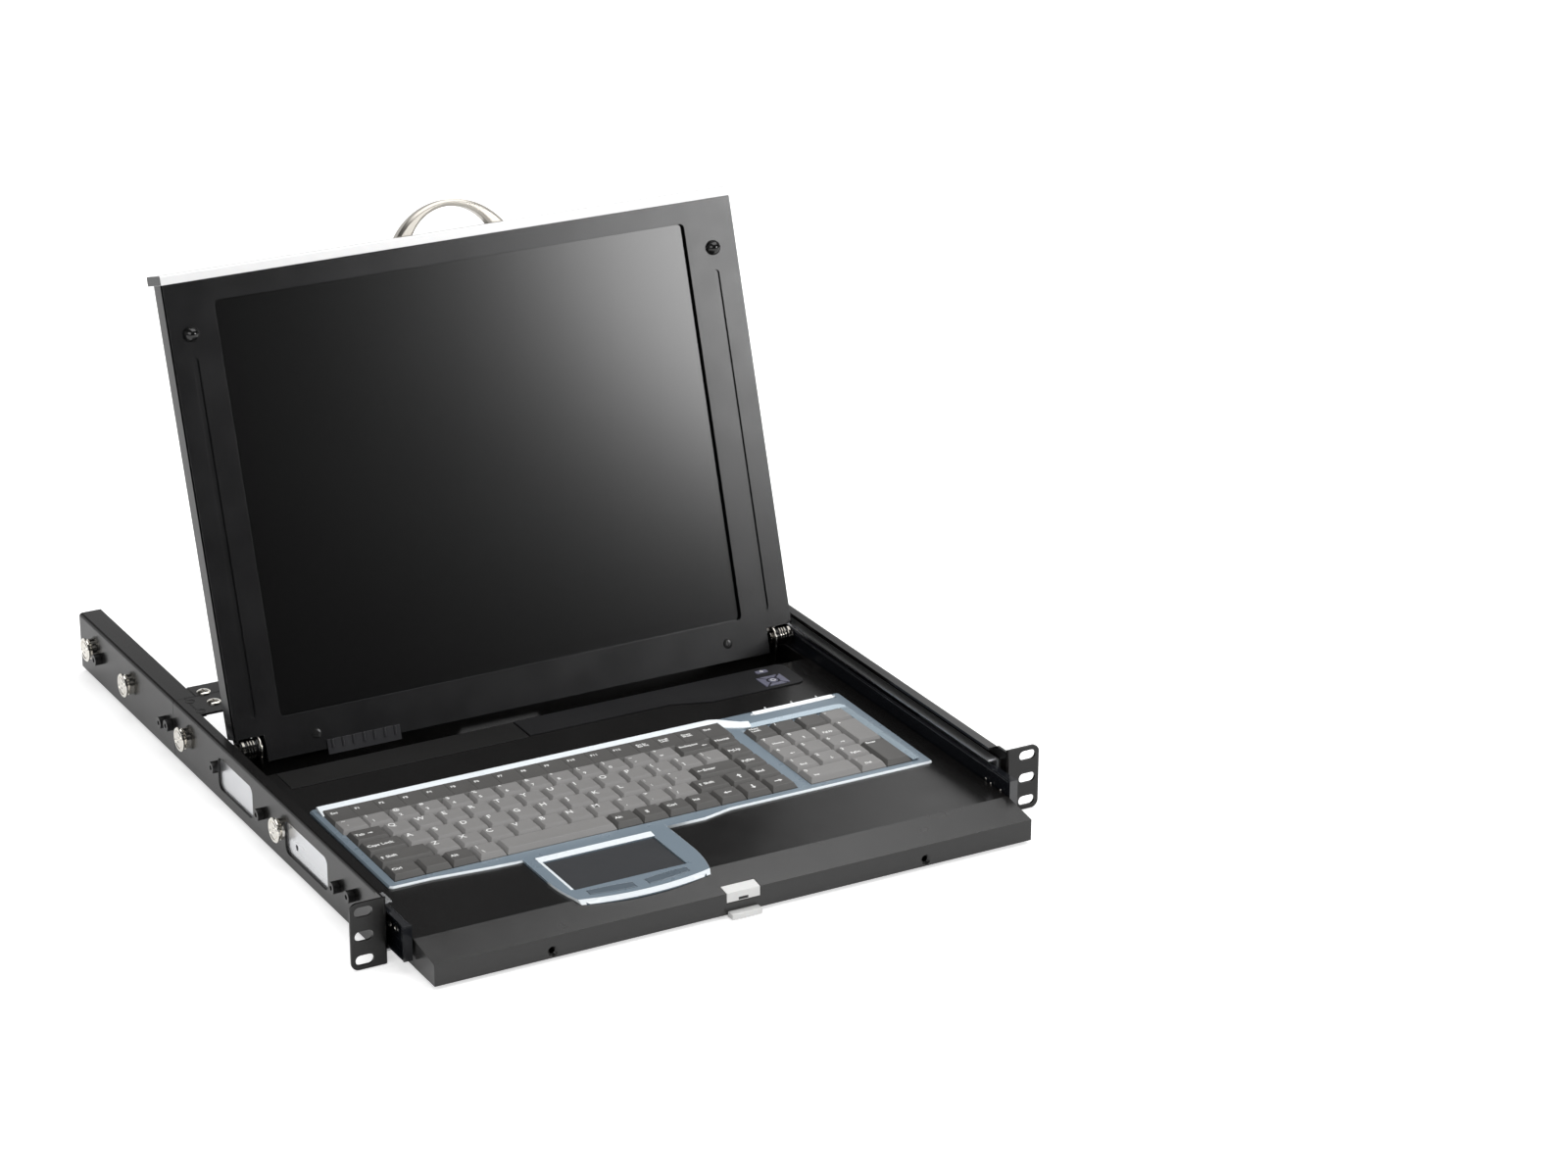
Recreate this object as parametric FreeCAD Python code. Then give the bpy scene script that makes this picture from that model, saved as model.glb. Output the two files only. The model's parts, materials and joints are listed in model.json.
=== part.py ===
import FreeCAD, Part
import math
import os

V = FreeCAD.Vector
os.makedirs("parts", exist_ok=True)

# Rack console drawer: a fixed frame with rack ears, ball-bearing slides, a keyboard tray and a
# tilting display lid. Millimetres, X across the rack, Y into the rack, Z up. The origin is the
# centre of the ears' hole pattern, on the ears' front faces.

# ---- rack ears (EIA-310, one rack unit) ----
ear_reach = 22.36
ear_height = 44.0
ear_corner_radius = 5.0
slot_inset_x = 8.75
slot_spacing_z = 15.875
slot_length = 12.0
slot_width = 6.5

# ---- side brackets and rear extension ----
frame_height = 41.2
arm_length = 173.2
bracket_sheet = 1.6
bend_radius = 2.4
top_flange = 8.0
arm_top_flange = 16.0
bottom_flange = 9.0
flange_start = 12.5
seam_gap = 0.3
window_height = 22.8
window_radius = 5.0
window_shares = ((0.2530, 0.4494), (0.6042, 0.7738))
front_bridge_depth = 29.0
rear_bridge_depth = 16.4
bridge_behind_tray = 7.0
bridge_lap = 5.0
doubler_length = 72.0
doubler_height = 28.0

# ---- hardware on the outside of the walls ----
bracket_stud_shares = (0.47024, 0.94137)
arm_stud_offsets = (81.7, 152.0)
stud_height_z = 1.7
stud_head_diameter = 16.5
stud_neck_diameter = 9.0
stud_standoff = 5.0
stud_head_thickness = 1.6
stud_foot_thickness = 1.6
bracket_screw_shares = ((0.13988, 3.0), (0.20833, -0.8), (0.55833, 0.0), (0.77976, 3.0))
arm_screw_offsets = ((4.4, 2.0), (17.0, -0.8), (136.7, -0.3))
screw_head_diameter = 8.0
screw_head_height = 4.5
screw_hex = 3.4

# ---- slides ----
slide_centre_z = -2.8
slide_sheet = 1.2
outer_slide_height = 32.4
outer_slide_depth = 8.0
outer_slide_start = 10.0
outer_slide_end_gap = 4.3
slide_hole_radius = 2.0
slide_hole_inset = 15.0
inner_slide_height = 23.6
inner_slide_depth = 5.6
inner_slide_start = -15.5
inner_slide_rear_gap = 10.0
inner_slide_gap = 1.05
standoff_height = 12.0
standoff_radius = 5.0
end_cap_thickness = 1.5
end_cap_width = 5.9
ball_diameter = 2.7
ball_count = 6
retainer_start = 105.0
retainer_length = 90.0
retainer_sheet = 0.6
retainer_side_gap = 0.45

# ---- tray ----
slide_space = 11.09
board_side_margin = 14.85
tray_front = -45.0
tray_tail = 34.2
tray_bottom = -20.0
tray_sheet = 1.2
deck_top = -1.0
deck_rear_gap = 24.8
fold_y = -16.3
bar_sheet = 1.5
bar_front_height = 14.3
bar_side_rear = -9.5
bar_screw_spacing = 260.0
bar_screw_diameter = 7.0
bar_screw_drop = 10.0

# ---- lid latch ----
latch_width = 23.2
latch_cap_back = 8.2
latch_cap_drop = 6.4
latch_sheet = 1.0
latch_gap = 0.3
release_width = 21.0
release_height = 3.8
release_stand_out = 5.3
release_travel = 2.5

# ---- keyboard ----
board_left_border = 6.0
board_right_border = 12.4
well_divider = 9.52
board_rear = 174.5
board_front = 50.5
board_rise = 2.8
board_front_rise = 1.5
board_corner_radius = 3.0
board_edge = 1.0
tongue_reach = 60.0
tongue_depth = 30.0
flare_depth = 5.0
flare_left_run = 60.0
flare_right_run = 21.0
flare_right_length = 27.0
well_front = 56.4
key_spacing = 18.5
key_row = 18.4
function_row = 12.6
main_row_key_count = 15.28
function_keys = 17
numpad_extra = 0.35
well_clearance = 0.4
well_slope_run = 5.0
skirt_wall = 1.5
skirt_depth = 4.0
key_gap = 0.7
key_top = 4.0
key_bottom = -2.4
key_inset_side = 2.2
key_inset_front = 2.6
key_inset_rear = 3.2
key_travel = 2.2
stem_size = 4.0
stem_clearance = 0.3
base_plate_thickness = 2.5
stem_depth = 3.0
lens_inset = 17.8
lens_length = 65.0
lens_width = 4.2
lens_y = 170.0
lens_thickness = 0.8

# ---- touchpad ----
pad_width = 77.0
pad_depth = 44.0
pad_from_centre = -2.4
pad_centre_y = 15.4
pad_recess = 0.9
pad_thickness = 2.4
pad_clearance = 0.15
surround_from_left = 138.1
surround_side = 11.7
surround_nose = -28.3
surround_corner_y = -22.5
surround_shoulder = 12.0
surround_inset = 6.0
surround_bow = 1.5
surround_seat = 9.0
surround_top = 0.5
surround_nose_edge = 2.5
pad_button_length = 30.0
pad_button_gap = 8.6
pad_button_rear = -12.6
pad_button_width = 7.0
pad_button_sweep = 3.2
pad_button_travel = 1.0

# ---- screen control panel ----
panel_length = 203.2
panel_side_inset = 21.85
panel_rear_inset = 0.6
panel_depth_left = 24.9
panel_depth_right = 34.4
panel_jog_from_left = 104.2
panel_jog_run = 27.0
panel_thickness = 0.8
panel_corner_radius = 6.0
menu_inset_x = 19.5
menu_inset_y = 11.0
menu_ring_radius = 7.6
menu_inner_radius = 3.4
menu_button_reach = 16.0
menu_cut = 1.2
power_above_menu = 16.5
power_width = 9.0
power_depth = 4.4
button_travel = 0.6
button_clearance = 0.25
button_depth = 2.4

# ---- hinge ----
lid_front_gap = 0.2
hinge_z = 8.6
lid_tilt = 17.4
hinge_barrel_radius = 6.0
hinge_pin_radius = 2.5
hinge_pin_clearance = 0.05
hinge_bracket_sheet = 1.6
hinge_barrel_length = 12.0
hinge_washer_thickness = 0.9
hinge_washer_radius = 6.8
hinge_leaf_length = 24.0
hinge_leaf_thickness = 5.2
hinge_side_gap = 0.3

# ---- lid, in its own plane: h runs up the lid from the screen opening, d out of its face ----
hinge_h = -16.8
hinge_d = -3.6
lid_centre_x = 1.8
lid_side_gap = 1.45
bezel_inset = 0.8
hinge_inset = 16.5
lid_bottom = -27.0
screen_top_border = 14.5
lid_thickness = 15.6
lid_sheet = 1.2
bezel_sheet = 2.0
lid_edge_radius = 2.0
lid_heel_thickness = 12.0
lid_heel = (-13.0, -5.5)
hinge_notch_clearance = 3.9
hinge_notch_top = -9.5
screen_side_border = 19.4
screen_height = 273.0
screen_centre_x = -0.5
screen_recess = 4.6
screen_margin = 4.5
groove_outside_screen = 19.1
groove_width = 4.0
groove_bottom = 3.0
groove_below_top = 49.0
groove_depth = 1.2
bumper_below_top = 33.7
bumper_radius = 5.2
bumper_height = 5.0
face_overhang = 3.4
face_thickness = 6.3
face_drop = 9.2
face_corner_radius = 1.5
guard_inset = 61.3
guard_length = 52.0
guard_drop = 4.0
guard_rise = 6.0
guard_ribs = 7
guard_rib_radius = 1.1
handle_span = 78.0
handle_height = 19.8
handle_inner_span = 55.0
handle_inner_height = 15.4
handle_depth = 10.0
handle_centre_x = 1.8
handle_edge_radius = 2.2

# ---- places worked out from the sizes above ----
well_width = key_spacing * main_row_key_count
numpad_spacing = key_spacing + numpad_extra
board_half = (board_left_border + well_width + well_divider + 4 * numpad_spacing + board_right_border) / 2
well_left = board_left_border - board_half
numpad_start = well_left + well_width + well_divider
lens_left = numpad_start + lens_inset
surround_centre_x = surround_from_left - board_half
pad_centre_x = surround_centre_x + pad_from_centre
surround_half_width = pad_width / 2 + surround_side
tray_half = board_half + board_side_margin
wall_outer = tray_half + slide_space
wall_inner = wall_outer - bracket_sheet
ear_half_span = wall_outer + ear_reach
slot_centre_x = ear_half_span - slot_inset_x
panel_right = tray_half - panel_side_inset
panel_left = panel_right - panel_length
panel_jog_start = panel_left + panel_jog_from_left
lid_top = screen_height + screen_top_border
hinge_y = tray_front + lid_front_gap + lid_top + face_thickness - hinge_h
deck_rear = hinge_y - deck_rear_gap
tray_rear = hinge_y + tray_tail
bridge_front = tray_rear + bridge_behind_tray
bracket_length = bridge_front + front_bridge_depth
arm_start = bracket_length + seam_gap
arm_end = arm_start + arm_length
outer_slide_end = arm_start - doubler_length / 2 - outer_slide_end_gap
inner_slide_end = tray_rear - inner_slide_rear_gap
frame_top = frame_height / 2
frame_bottom = -frame_height / 2
shell_half_width = tray_half - lid_side_gap
bezel_half_width = shell_half_width - bezel_inset
guard_left = lid_centre_x - bezel_half_width + guard_inset
hinge_bracket_offset = shell_half_width - hinge_inset
screen_width = 2 * (hinge_bracket_offset - screen_side_border)
groove_offset = screen_width / 2 + groove_outside_screen
bumper_h = lid_top - bumper_below_top
panel_rear = deck_rear - panel_rear_inset
menu_x = panel_right - menu_inset_x
menu_y = panel_rear - panel_depth_right + menu_inset_y
slope_front_z = tray_bottom + bar_front_height
slope_angle = math.atan2(deck_top - slope_front_z, fold_y - tray_front)
well_rear = well_front + 5 * key_row + function_row
board_top = deck_top + board_rise
board_under = deck_top - skirt_depth
inner_slide_x = tray_half + inner_slide_gap
leaf_back = -lid_thickness + lid_sheet


def box(x0, x1, y0, y1, z0, z1):
    return Part.makeBox(x1 - x0, y1 - y0, z1 - z0, V(x0, y0, z0))


def fused(shapes):
    joined = shapes[0].multiFuse(shapes[1:]) if len(shapes) > 1 else shapes[0]
    return joined.removeSplitter()


def outline_face(edges):
    return Part.Face(Part.Wire(edges))


def polygon_face(points):
    return Part.Face(Part.makePolygon(list(points) + [points[0]]))


def prism_x(points, x0, x1):
    """A closed outline of (y, z) points, run along X."""
    return polygon_face([V(x0, y, z) for y, z in points]).extrude(V(x1 - x0, 0, 0))


def prism_z(points, z0, z1):
    """A closed outline of (x, y) points, run along Z."""
    return polygon_face([V(x, y, z0) for x, y in points]).extrude(V(0, 0, z1 - z0))


def rings_solid(rings):
    """A closed solid with flat sides between rings of as many points each, from the lowest up."""
    faces = [polygon_face(rings[0]), polygon_face(rings[-1])]
    for low, high in zip(rings, rings[1:]):
        for k in range(len(low)):
            after = (k + 1) % len(low)
            faces.append(polygon_face([low[k], low[after], high[after], high[k]]))
    solid = Part.Solid(Part.Shell(faces))
    if solid.Volume < 0:
        solid.reverse()
    return solid


def cylinder_x(x0, x1, y, z, radius):
    return Part.makeCylinder(radius, x1 - x0, V(x0, y, z), V(1, 0, 0))


def cylinder_z(x, y, z0, z1, radius):
    return Part.makeCylinder(radius, z1 - z0, V(x, y, z0), V(0, 0, 1))


def edges_along(shape, direction, test):
    """The straight edges parallel to a direction whose middle point passes the test."""
    found = []
    for edge in shape.Edges:
        if not isinstance(edge.Curve, Part.Line):
            continue
        if abs(abs(edge.Curve.Direction.dot(direction)) - 1) > 1e-6:
            continue
        if test(edge.CenterOfMass):
            found.append(edge)
    return found


def rounded(shape, radius, direction, test=lambda middle: True):
    return shape.makeFillet(radius, edges_along(shape, direction, test))


def rounded_block(x0, x1, y0, y1, z0, z1, radius, direction):
    return rounded(box(x0, x1, y0, y1, z0, z1), radius, direction)


def channel(web_x, lip_x, z0, z1, sheet, y0, y1, radius):
    """A bent sheet channel along Y: its web's outer face is at web_x, its lips end at lip_x."""
    toward = 1 if lip_x > web_x else -1
    low, high = min(web_x, lip_x), max(web_x, lip_x)
    outside = box(low, high, y0, y1, z0, z1)
    outside = rounded(outside, radius, V(0, 1, 0), lambda m: abs(m.x - web_x) < 0.01)
    start = web_x + toward * sheet
    end = lip_x + toward * sheet
    inside = box(min(start, end), max(start, end), y0 - 1, y1 + 1, z0 + sheet, z1 - sheet)
    inner_radius = max(radius - sheet, 0.1)
    inside = rounded(inside, inner_radius, V(0, 1, 0), lambda m: abs(m.x - start) < 0.01)
    return outside.cut(inside)


def on_side(shape, side, centre_x=0.0):
    return shape if side > 0 else shape.mirror(V(centre_x, 0, 0), V(1, 0, 0))


def save(name, shape):
    if not shape.isValid():
        print("invalid:", name)
    shape.exportStep("parts/" + name + ".step")


# ---- fixed frame ----
def ear_slot(z):
    x = slot_centre_x
    return rounded_block(x - slot_length / 2, x + slot_length / 2, -1, bracket_sheet + 1,
                         z - slot_width / 2, z + slot_width / 2, slot_width / 2 - 0.001, V(0, 1, 0))


def window(start, end):
    return rounded_block(wall_inner - 1, wall_outer + 1, start, end,
                         -window_height / 2, window_height / 2, window_radius, V(1, 0, 0))


def side_bracket():
    ear = box(wall_inner, ear_half_span, 0, bracket_sheet, -ear_height / 2, ear_height / 2)
    ear = rounded(ear, ear_corner_radius, V(0, 1, 0), lambda m: m.x > wall_outer)
    web = box(wall_inner, wall_outer, 0, flange_start, frame_bottom, frame_top)
    body = channel(wall_outer, wall_outer - top_flange, frame_bottom, frame_top, bracket_sheet,
                   flange_start, bracket_length, bend_radius)
    wider = box(wall_outer - bottom_flange, wall_outer - top_flange + 0.1, flange_start, bracket_length,
                frame_bottom, frame_bottom + bracket_sheet)
    bracket = fused([ear, web, body, wider])
    bracket = rounded(bracket, bend_radius - 0.4, V(0, 0, 1),
                      lambda m: abs(m.x - wall_inner) < 0.01 and abs(m.y) < 0.01)
    for step in (-1, 0, 1):
        bracket = bracket.cut(ear_slot(step * slot_spacing_z))
    for start, end in window_shares:
        bracket = bracket.cut(window(start * bracket_length, end * bracket_length))
    return bracket


def rear_arm():
    arm = channel(wall_outer, wall_outer - arm_top_flange, frame_bottom, frame_top, bracket_sheet,
                  arm_start, arm_end, bend_radius)
    trim = box(wall_outer - arm_top_flange - 1, wall_outer - bottom_flange, arm_start - 1, arm_end + 1,
               frame_bottom - 1, frame_bottom + bracket_sheet + 1)
    arm = arm.cut(trim)
    doubler = box(wall_inner - bracket_sheet, wall_inner, arm_start - doubler_length / 2,
                  arm_start + doubler_length / 2, -doubler_height / 2, doubler_height / 2)
    return fused([arm, doubler])


def bridge(y0, y1, flange_edge):
    plate = box(-flange_edge + seam_gap, flange_edge - seam_gap, y0, y1, frame_top - bracket_sheet, frame_top)
    pieces = [plate]
    for side in (-1, 1):
        tab = box(flange_edge - bridge_lap, flange_edge + bridge_lap, y0 + 2, y1 - 2,
                  frame_top - 2 * bracket_sheet, frame_top - bracket_sheet)
        pieces.append(on_side(tab, side))
    return fused(pieces)


def stud(y):
    """A stud with a wide ringed head, standing on the wall at y."""
    head = stud_head_diameter / 2
    neck = stud_neck_diameter / 2
    foot = stud_foot_thickness
    profile = [V(0, 0, 0), V(head - 1.2, 0, 0), V(head - 1.2, 0, foot), V(neck, 0, foot),
               V(neck, 0, stud_standoff - stud_head_thickness),
               V(head, 0, stud_standoff - stud_head_thickness),
               V(head, 0, stud_standoff - 0.5), V(head - 0.5, 0, stud_standoff),
               V(head - 2.0, 0, stud_standoff),
               V(head - 2.5, 0, stud_standoff - 0.5), V(head - 3.0, 0, stud_standoff), V(0, 0, stud_standoff)]
    turned = polygon_face(profile).revolve(V(0, 0, 0), V(0, 0, 1), 360)
    turned.rotate(V(0, 0, 0), V(0, 1, 0), 90)
    turned.translate(V(wall_outer, y, stud_height_z))
    return turned


def cap_screw(y, z):
    head = cylinder_x(wall_outer, wall_outer + screw_head_height, y, z, screw_head_diameter / 2)
    corners = [(y + screw_hex / 2 * math.cos(k * math.pi / 3), z + screw_hex / 2 * math.sin(k * math.pi / 3))
               for k in range(6)]
    socket = prism_x(corners, wall_outer + screw_head_height / 2, wall_outer + screw_head_height + 1)
    return head.cut(socket)


def both_sides(shapes):
    pieces = []
    for side in (-1, 1):
        pieces += [on_side(shape, side) for shape in shapes]
    return Part.makeCompound(pieces)


# ---- slides ----
def outer_slide():
    z0 = slide_centre_z - outer_slide_height / 2
    rail = channel(wall_inner, wall_inner - outer_slide_depth, z0, z0 + outer_slide_height, slide_sheet,
                   outer_slide_start, outer_slide_end, slide_sheet + 0.6)
    hole_y = window_shares[0][1] * bracket_length - slide_hole_inset
    return rail.cut(cylinder_x(wall_inner - 2 * slide_sheet, wall_inner + 1, hole_y, slide_centre_z,
                               slide_hole_radius))


def inner_slide():
    z0 = slide_centre_z - inner_slide_height / 2
    rail = channel(inner_slide_x, inner_slide_x + inner_slide_depth, z0, z0 + inner_slide_height, slide_sheet,
                   inner_slide_start, inner_slide_end, slide_sheet + 0.5)
    cap = box(inner_slide_x, inner_slide_x + end_cap_width, inner_slide_start - end_cap_thickness,
              inner_slide_start, z0, z0 + inner_slide_height)
    pieces = [rail, cap]
    for share in (0.06, 0.5, 0.92):
        y = inner_slide_start + (inner_slide_end - inner_slide_start) * share
        pieces.append(cylinder_x(tray_half, inner_slide_x + slide_sheet, y, tray_bottom + standoff_height,
                                 standoff_radius))
    return fused(pieces)


def ball(centre):
    """A bearing ball with flat facets, because there are two dozen of them."""
    radius = ball_diameter / 2
    rings = []
    for band in (-3, -1, 1, 3):
        rise = math.radians(band * 22.5)
        turn = [math.radians(45 * k) for k in range(8)]
        rings.append([centre + V(radius * math.cos(rise) * math.cos(a), radius * math.cos(rise) * math.sin(a),
                                 radius * math.sin(rise)) for a in turn])
    return rings_solid(rings)


def ball_retainer():
    """The caged balls between the two slide members: a thin channel with balls held in both lips."""
    half = inner_slide_height / 2
    race = (outer_slide_height / 2 - slide_sheet - half) / 2
    strip = half + race
    web_x = wall_inner - slide_sheet - retainer_side_gap
    lip_x = inner_slide_x + slide_sheet + 0.5
    cage = channel(web_x, lip_x, slide_centre_z - strip - retainer_sheet / 2,
                   slide_centre_z + strip + retainer_sheet / 2, retainer_sheet,
                   retainer_start, retainer_start + retainer_length, retainer_sheet + 0.2)
    balls = []
    for row in (-1, 1):
        for k in range(ball_count):
            y = retainer_start + retainer_length * (k + 0.5) / ball_count
            centre = V((inner_slide_x + inner_slide_x + inner_slide_depth) / 2 + 0.5, y,
                       slide_centre_z + row * strip)
            balls.append(ball(centre))
    return fused([cage] + balls)


# ---- tray ----
def tray_pan():
    outside = box(-tray_half, tray_half, fold_y, tray_rear, tray_bottom, deck_top - tray_sheet)
    inside = box(-tray_half + tray_sheet, tray_half - tray_sheet, fold_y - 1, tray_rear - tray_sheet,
                 tray_bottom + tray_sheet, deck_top)
    pan = outside.cut(inside)
    exit_notch = rounded_block(-30, 30, tray_rear - tray_sheet - 1, tray_rear + 1, -12, 4, 3, V(0, 1, 0))
    return pan.cut(exit_notch)


def surround_outline(z, grow=0.0):
    """The rounded tongue that carries the touchpad, as a face at height z."""
    left = surround_centre_x - surround_half_width - grow
    right = surround_centre_x + surround_half_width + grow
    nose = surround_nose - grow
    corner = surround_corner_y - grow
    rear = board_front + 6
    a, b, c = V(left, rear, z), V(left, surround_shoulder, z), V(left + surround_inset, corner, z)
    d, e, f = V(right - surround_inset, corner, z), V(right, surround_shoulder, z), V(right, rear, z)
    side_y = (surround_shoulder + corner) / 2
    edges = [Part.makeLine(a, b), Part.Arc(b, V(left + surround_bow, side_y, z), c).toShape(),
             Part.Arc(c, V(surround_centre_x, nose, z), d).toShape(),
             Part.Arc(d, V(right - surround_bow, side_y, z), e).toShape(), Part.makeLine(e, f),
             Part.makeLine(f, a)]
    return outline_face(edges)


def module_hole(grow):
    """Everything of the keyboard module that passes down through the deck and the bar."""
    wall = skirt_wall + grow
    main = box(well_left - wall, numpad_start + 4 * numpad_spacing + wall, well_front - wall,
               well_rear + wall,
               board_under - 20, board_top + 20)
    half = surround_half_width - surround_seat + grow
    front = surround_nose + surround_seat / 2 - grow
    tongue = box(surround_centre_x - half, surround_centre_x + half, front, well_front, board_under - 20,
                 board_top + 20)
    return main.fuse(tongue)


def tray_deck():
    deck = box(-tray_half, tray_half, fold_y, deck_rear, deck_top - tray_sheet, deck_top)
    deck = deck.cut(module_hole(seam_gap))
    for hole in panel_holes(button_clearance):
        deck = deck.cut(hole)
    return deck


def bar_outline(inset):
    """The front bar's side view: sloped top, upright face, flat bottom, open at the back."""
    low = tray_bottom + inset
    return [(fold_y - inset * 0.2, deck_top - inset * 1.02),
            (tray_front + inset, slope_front_z - inset * 0.9),
            (tray_front + inset, low), (bar_side_rear - inset * 0.2, low)]


def latch_recess(grow):
    half = latch_width / 2 + grow
    cap = box(-half, half, tray_front - 1, tray_front + latch_cap_back + grow,
              slope_front_z - latch_cap_drop - grow, deck_top + 1)
    return cap


def front_bar():
    bar = prism_x(bar_outline(0.0), -tray_half, tray_half)
    hollow = prism_x([(y + bar_sheet * 9 * (y > fold_y - 1), z) for y, z in bar_outline(bar_sheet)],
                     -tray_half + bar_sheet, tray_half - bar_sheet)
    bar = bar.cut(hollow)
    pan_room = box(-tray_half - 1, tray_half + 1, fold_y, 0, tray_bottom - 1, deck_top + 1)
    bar = bar.cut(pan_room)
    for side in (-1, 1):
        sink = Part.makeCone(bar_screw_diameter / 2, bar_screw_diameter / 4, bar_sheet,
                             V(side * bar_screw_spacing / 2, tray_front, slope_front_z - bar_screw_drop),
                             V(0, 1, 0))
        bar = bar.cut(sink)
    bar = bar.cut(latch_recess(latch_gap))
    half = release_width / 2 + latch_gap
    mouth = box(-half, half, tray_front - 1, tray_front + release_stand_out + bar_sheet,
                tray_bottom - 1, tray_bottom + release_height / 2 + latch_gap)
    bar = bar.cut(mouth)
    return bar.cut(module_hole(seam_gap))


def latch_cap():
    """The cap over the bar's front top corner, following the slope and the upright face."""
    outer = prism_x(bar_outline(0.0), -latch_width / 2, latch_width / 2)
    inner = prism_x(bar_outline(latch_sheet + 1.4), -latch_width, latch_width)
    zone = latch_recess(0.0)
    cap = outer.cut(inner).common(zone)
    back = tray_front + bar_sheet + 0.9
    return fused([cap, box(-latch_width / 2, latch_width / 2, tray_front + bar_sheet, back,
                           slope_front_z - latch_cap_drop - 2.5, slope_front_z - 3.0)])


def latch_release():
    half = release_width / 2
    top = tray_bottom + release_height / 2
    button = box(-half, half, tray_front - release_stand_out, tray_front + bar_sheet, top - release_height,
                 top)
    button = rounded(button, 0.6, V(1, 0, 0), lambda m: m.y < tray_front)
    return button


# ---- keyboard ----
def well_cut():
    main = box(well_left, well_left + well_width, well_front, well_rear, board_under - 1, board_top + 1)
    pad_right = numpad_start + 4 * numpad_spacing
    numpad = box(numpad_start, pad_right, well_front, well_front + 5 * key_row, board_under - 1,
                 board_top + 1)
    slopes = []
    for x0, x1, rear in ((well_left, well_left + well_width, well_rear),
                         (numpad_start, pad_right, well_front + 5 * key_row)):
        slopes.append(prism_x([(rear - 0.1, deck_top), (rear, deck_top), (rear + well_slope_run, board_top),
                               (rear + well_slope_run, board_top + 1), (rear - 0.1, board_top + 1)], x0, x1))
    return main.multiFuse([numpad] + slopes)


def pad_button_outline(side, z, grow):
    """A leaf shape beside the touchpad's centre line, as a face at height z."""
    near = pad_centre_x + 1.2 + side * (pad_button_gap / 2 - grow)
    far = near + side * (pad_button_length + 2 * grow)
    rear_near, rear_far = pad_button_rear + grow - 1.2, pad_button_rear + grow + 1.6
    front_near = pad_button_rear - pad_button_width - grow - 1.2
    front_far = front_near + pad_button_sweep + 1.0
    middle = (near + far) / 2
    a, b = V(near, rear_near, z), V(far, rear_far, z)
    c, d = V(far, front_far, z), V(near, front_near, z)
    top = Part.Arc(a, V(middle, (rear_near + rear_far) / 2 + 0.9, z), b).toShape()
    bottom = Part.Arc(c, V(middle, (front_near + front_far) / 2 - 1.0, z), d).toShape()
    return outline_face([top, Part.makeLine(b, c), bottom, Part.makeLine(d, a)])


def board_height(y):
    """The height of the bezel's top face at y."""
    share = (y - board_front) / (board_rear - board_front)
    return deck_top + board_front_rise + share * (board_rise - board_front_rise)


def edge_wedge(start, end, width):
    """What a bevel takes off the top edge from start to end, with the plate lying on its left."""
    length = math.hypot(end[0] - start[0], end[1] - start[1])
    along = V((end[0] - start[0]) / length, (end[1] - start[1]) / length, 0)
    out = V(along.y, -along.x, 0)
    first = V(start[0], start[1], board_height(start[1])) - along * 3
    last = V(end[0], end[1], board_height(end[1])) + along * 3
    corners = [first - out * (width + 2) + V(0, 0, 2), first + out * 2 - V(0, 0, width + 2),
               first + out * 2 + V(0, 0, 2)]
    return polygon_face(corners).extrude(last - first)


def board_plate():
    """The bezel's plate: rising to the rear, its front edge swelling out on both sides of the touchpad."""
    side_view = [(board_front, deck_top), (board_front, board_height(board_front)), (board_rear, board_top),
                 (board_rear, deck_top)]
    plate = prism_x(side_view, -board_half, board_half)
    plate = rounded(plate, board_corner_radius, V(0, 0, 1))
    top = max(plate.Faces, key=lambda face: face.CenterOfMass.z)
    plate = plate.makeChamfer(board_edge, top.Edges)
    left = surround_centre_x - surround_half_width
    right = surround_centre_x + surround_half_width + flare_right_length
    swell = board_front - flare_depth
    edge = [(left - flare_left_run, board_front), (left - flare_left_run / 3, swell + flare_depth * 0.2),
            (left, swell),
            (right, swell), (right + flare_right_run, board_front)]
    inner = board_front + board_edge
    ends = [(edge[-1][0], inner), (edge[0][0], inner)]
    flare = prism_z(edge + ends, deck_top, board_top + 1)
    under = prism_x([(swell, deck_top), (swell, board_height(swell)), (inner, board_height(inner)),
                     (inner, deck_top)],
                    -board_half, board_half)
    flare = flare.common(under)
    for start, end in zip(edge, edge[1:]):
        flare = flare.cut(edge_wedge(start, end, board_edge))
    return fused([plate, flare])


def surround():
    """The tongue in front of the keys that holds the touchpad, with a broad bevel round its nose."""
    tongue = surround_outline(board_under - 1).extrude(V(0, 0, surround_top - board_under + 1))
    nose_edges = []
    for edge in tongue.Edges:
        if edge.BoundBox.ZLength > 0.01 or edge.BoundBox.ZMin < surround_top - 0.01:
            continue
        if isinstance(edge.Curve, Part.Circle) and edge.CenterOfMass.y < surround_corner_y:
            nose_edges.append(edge)
    tongue = tongue.makeChamfer(surround_nose_edge, nose_edges)
    return tongue.cut(box(-board_half, board_half, board_front + 1, board_rear, board_under - 3,
                          board_top + 1))


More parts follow.
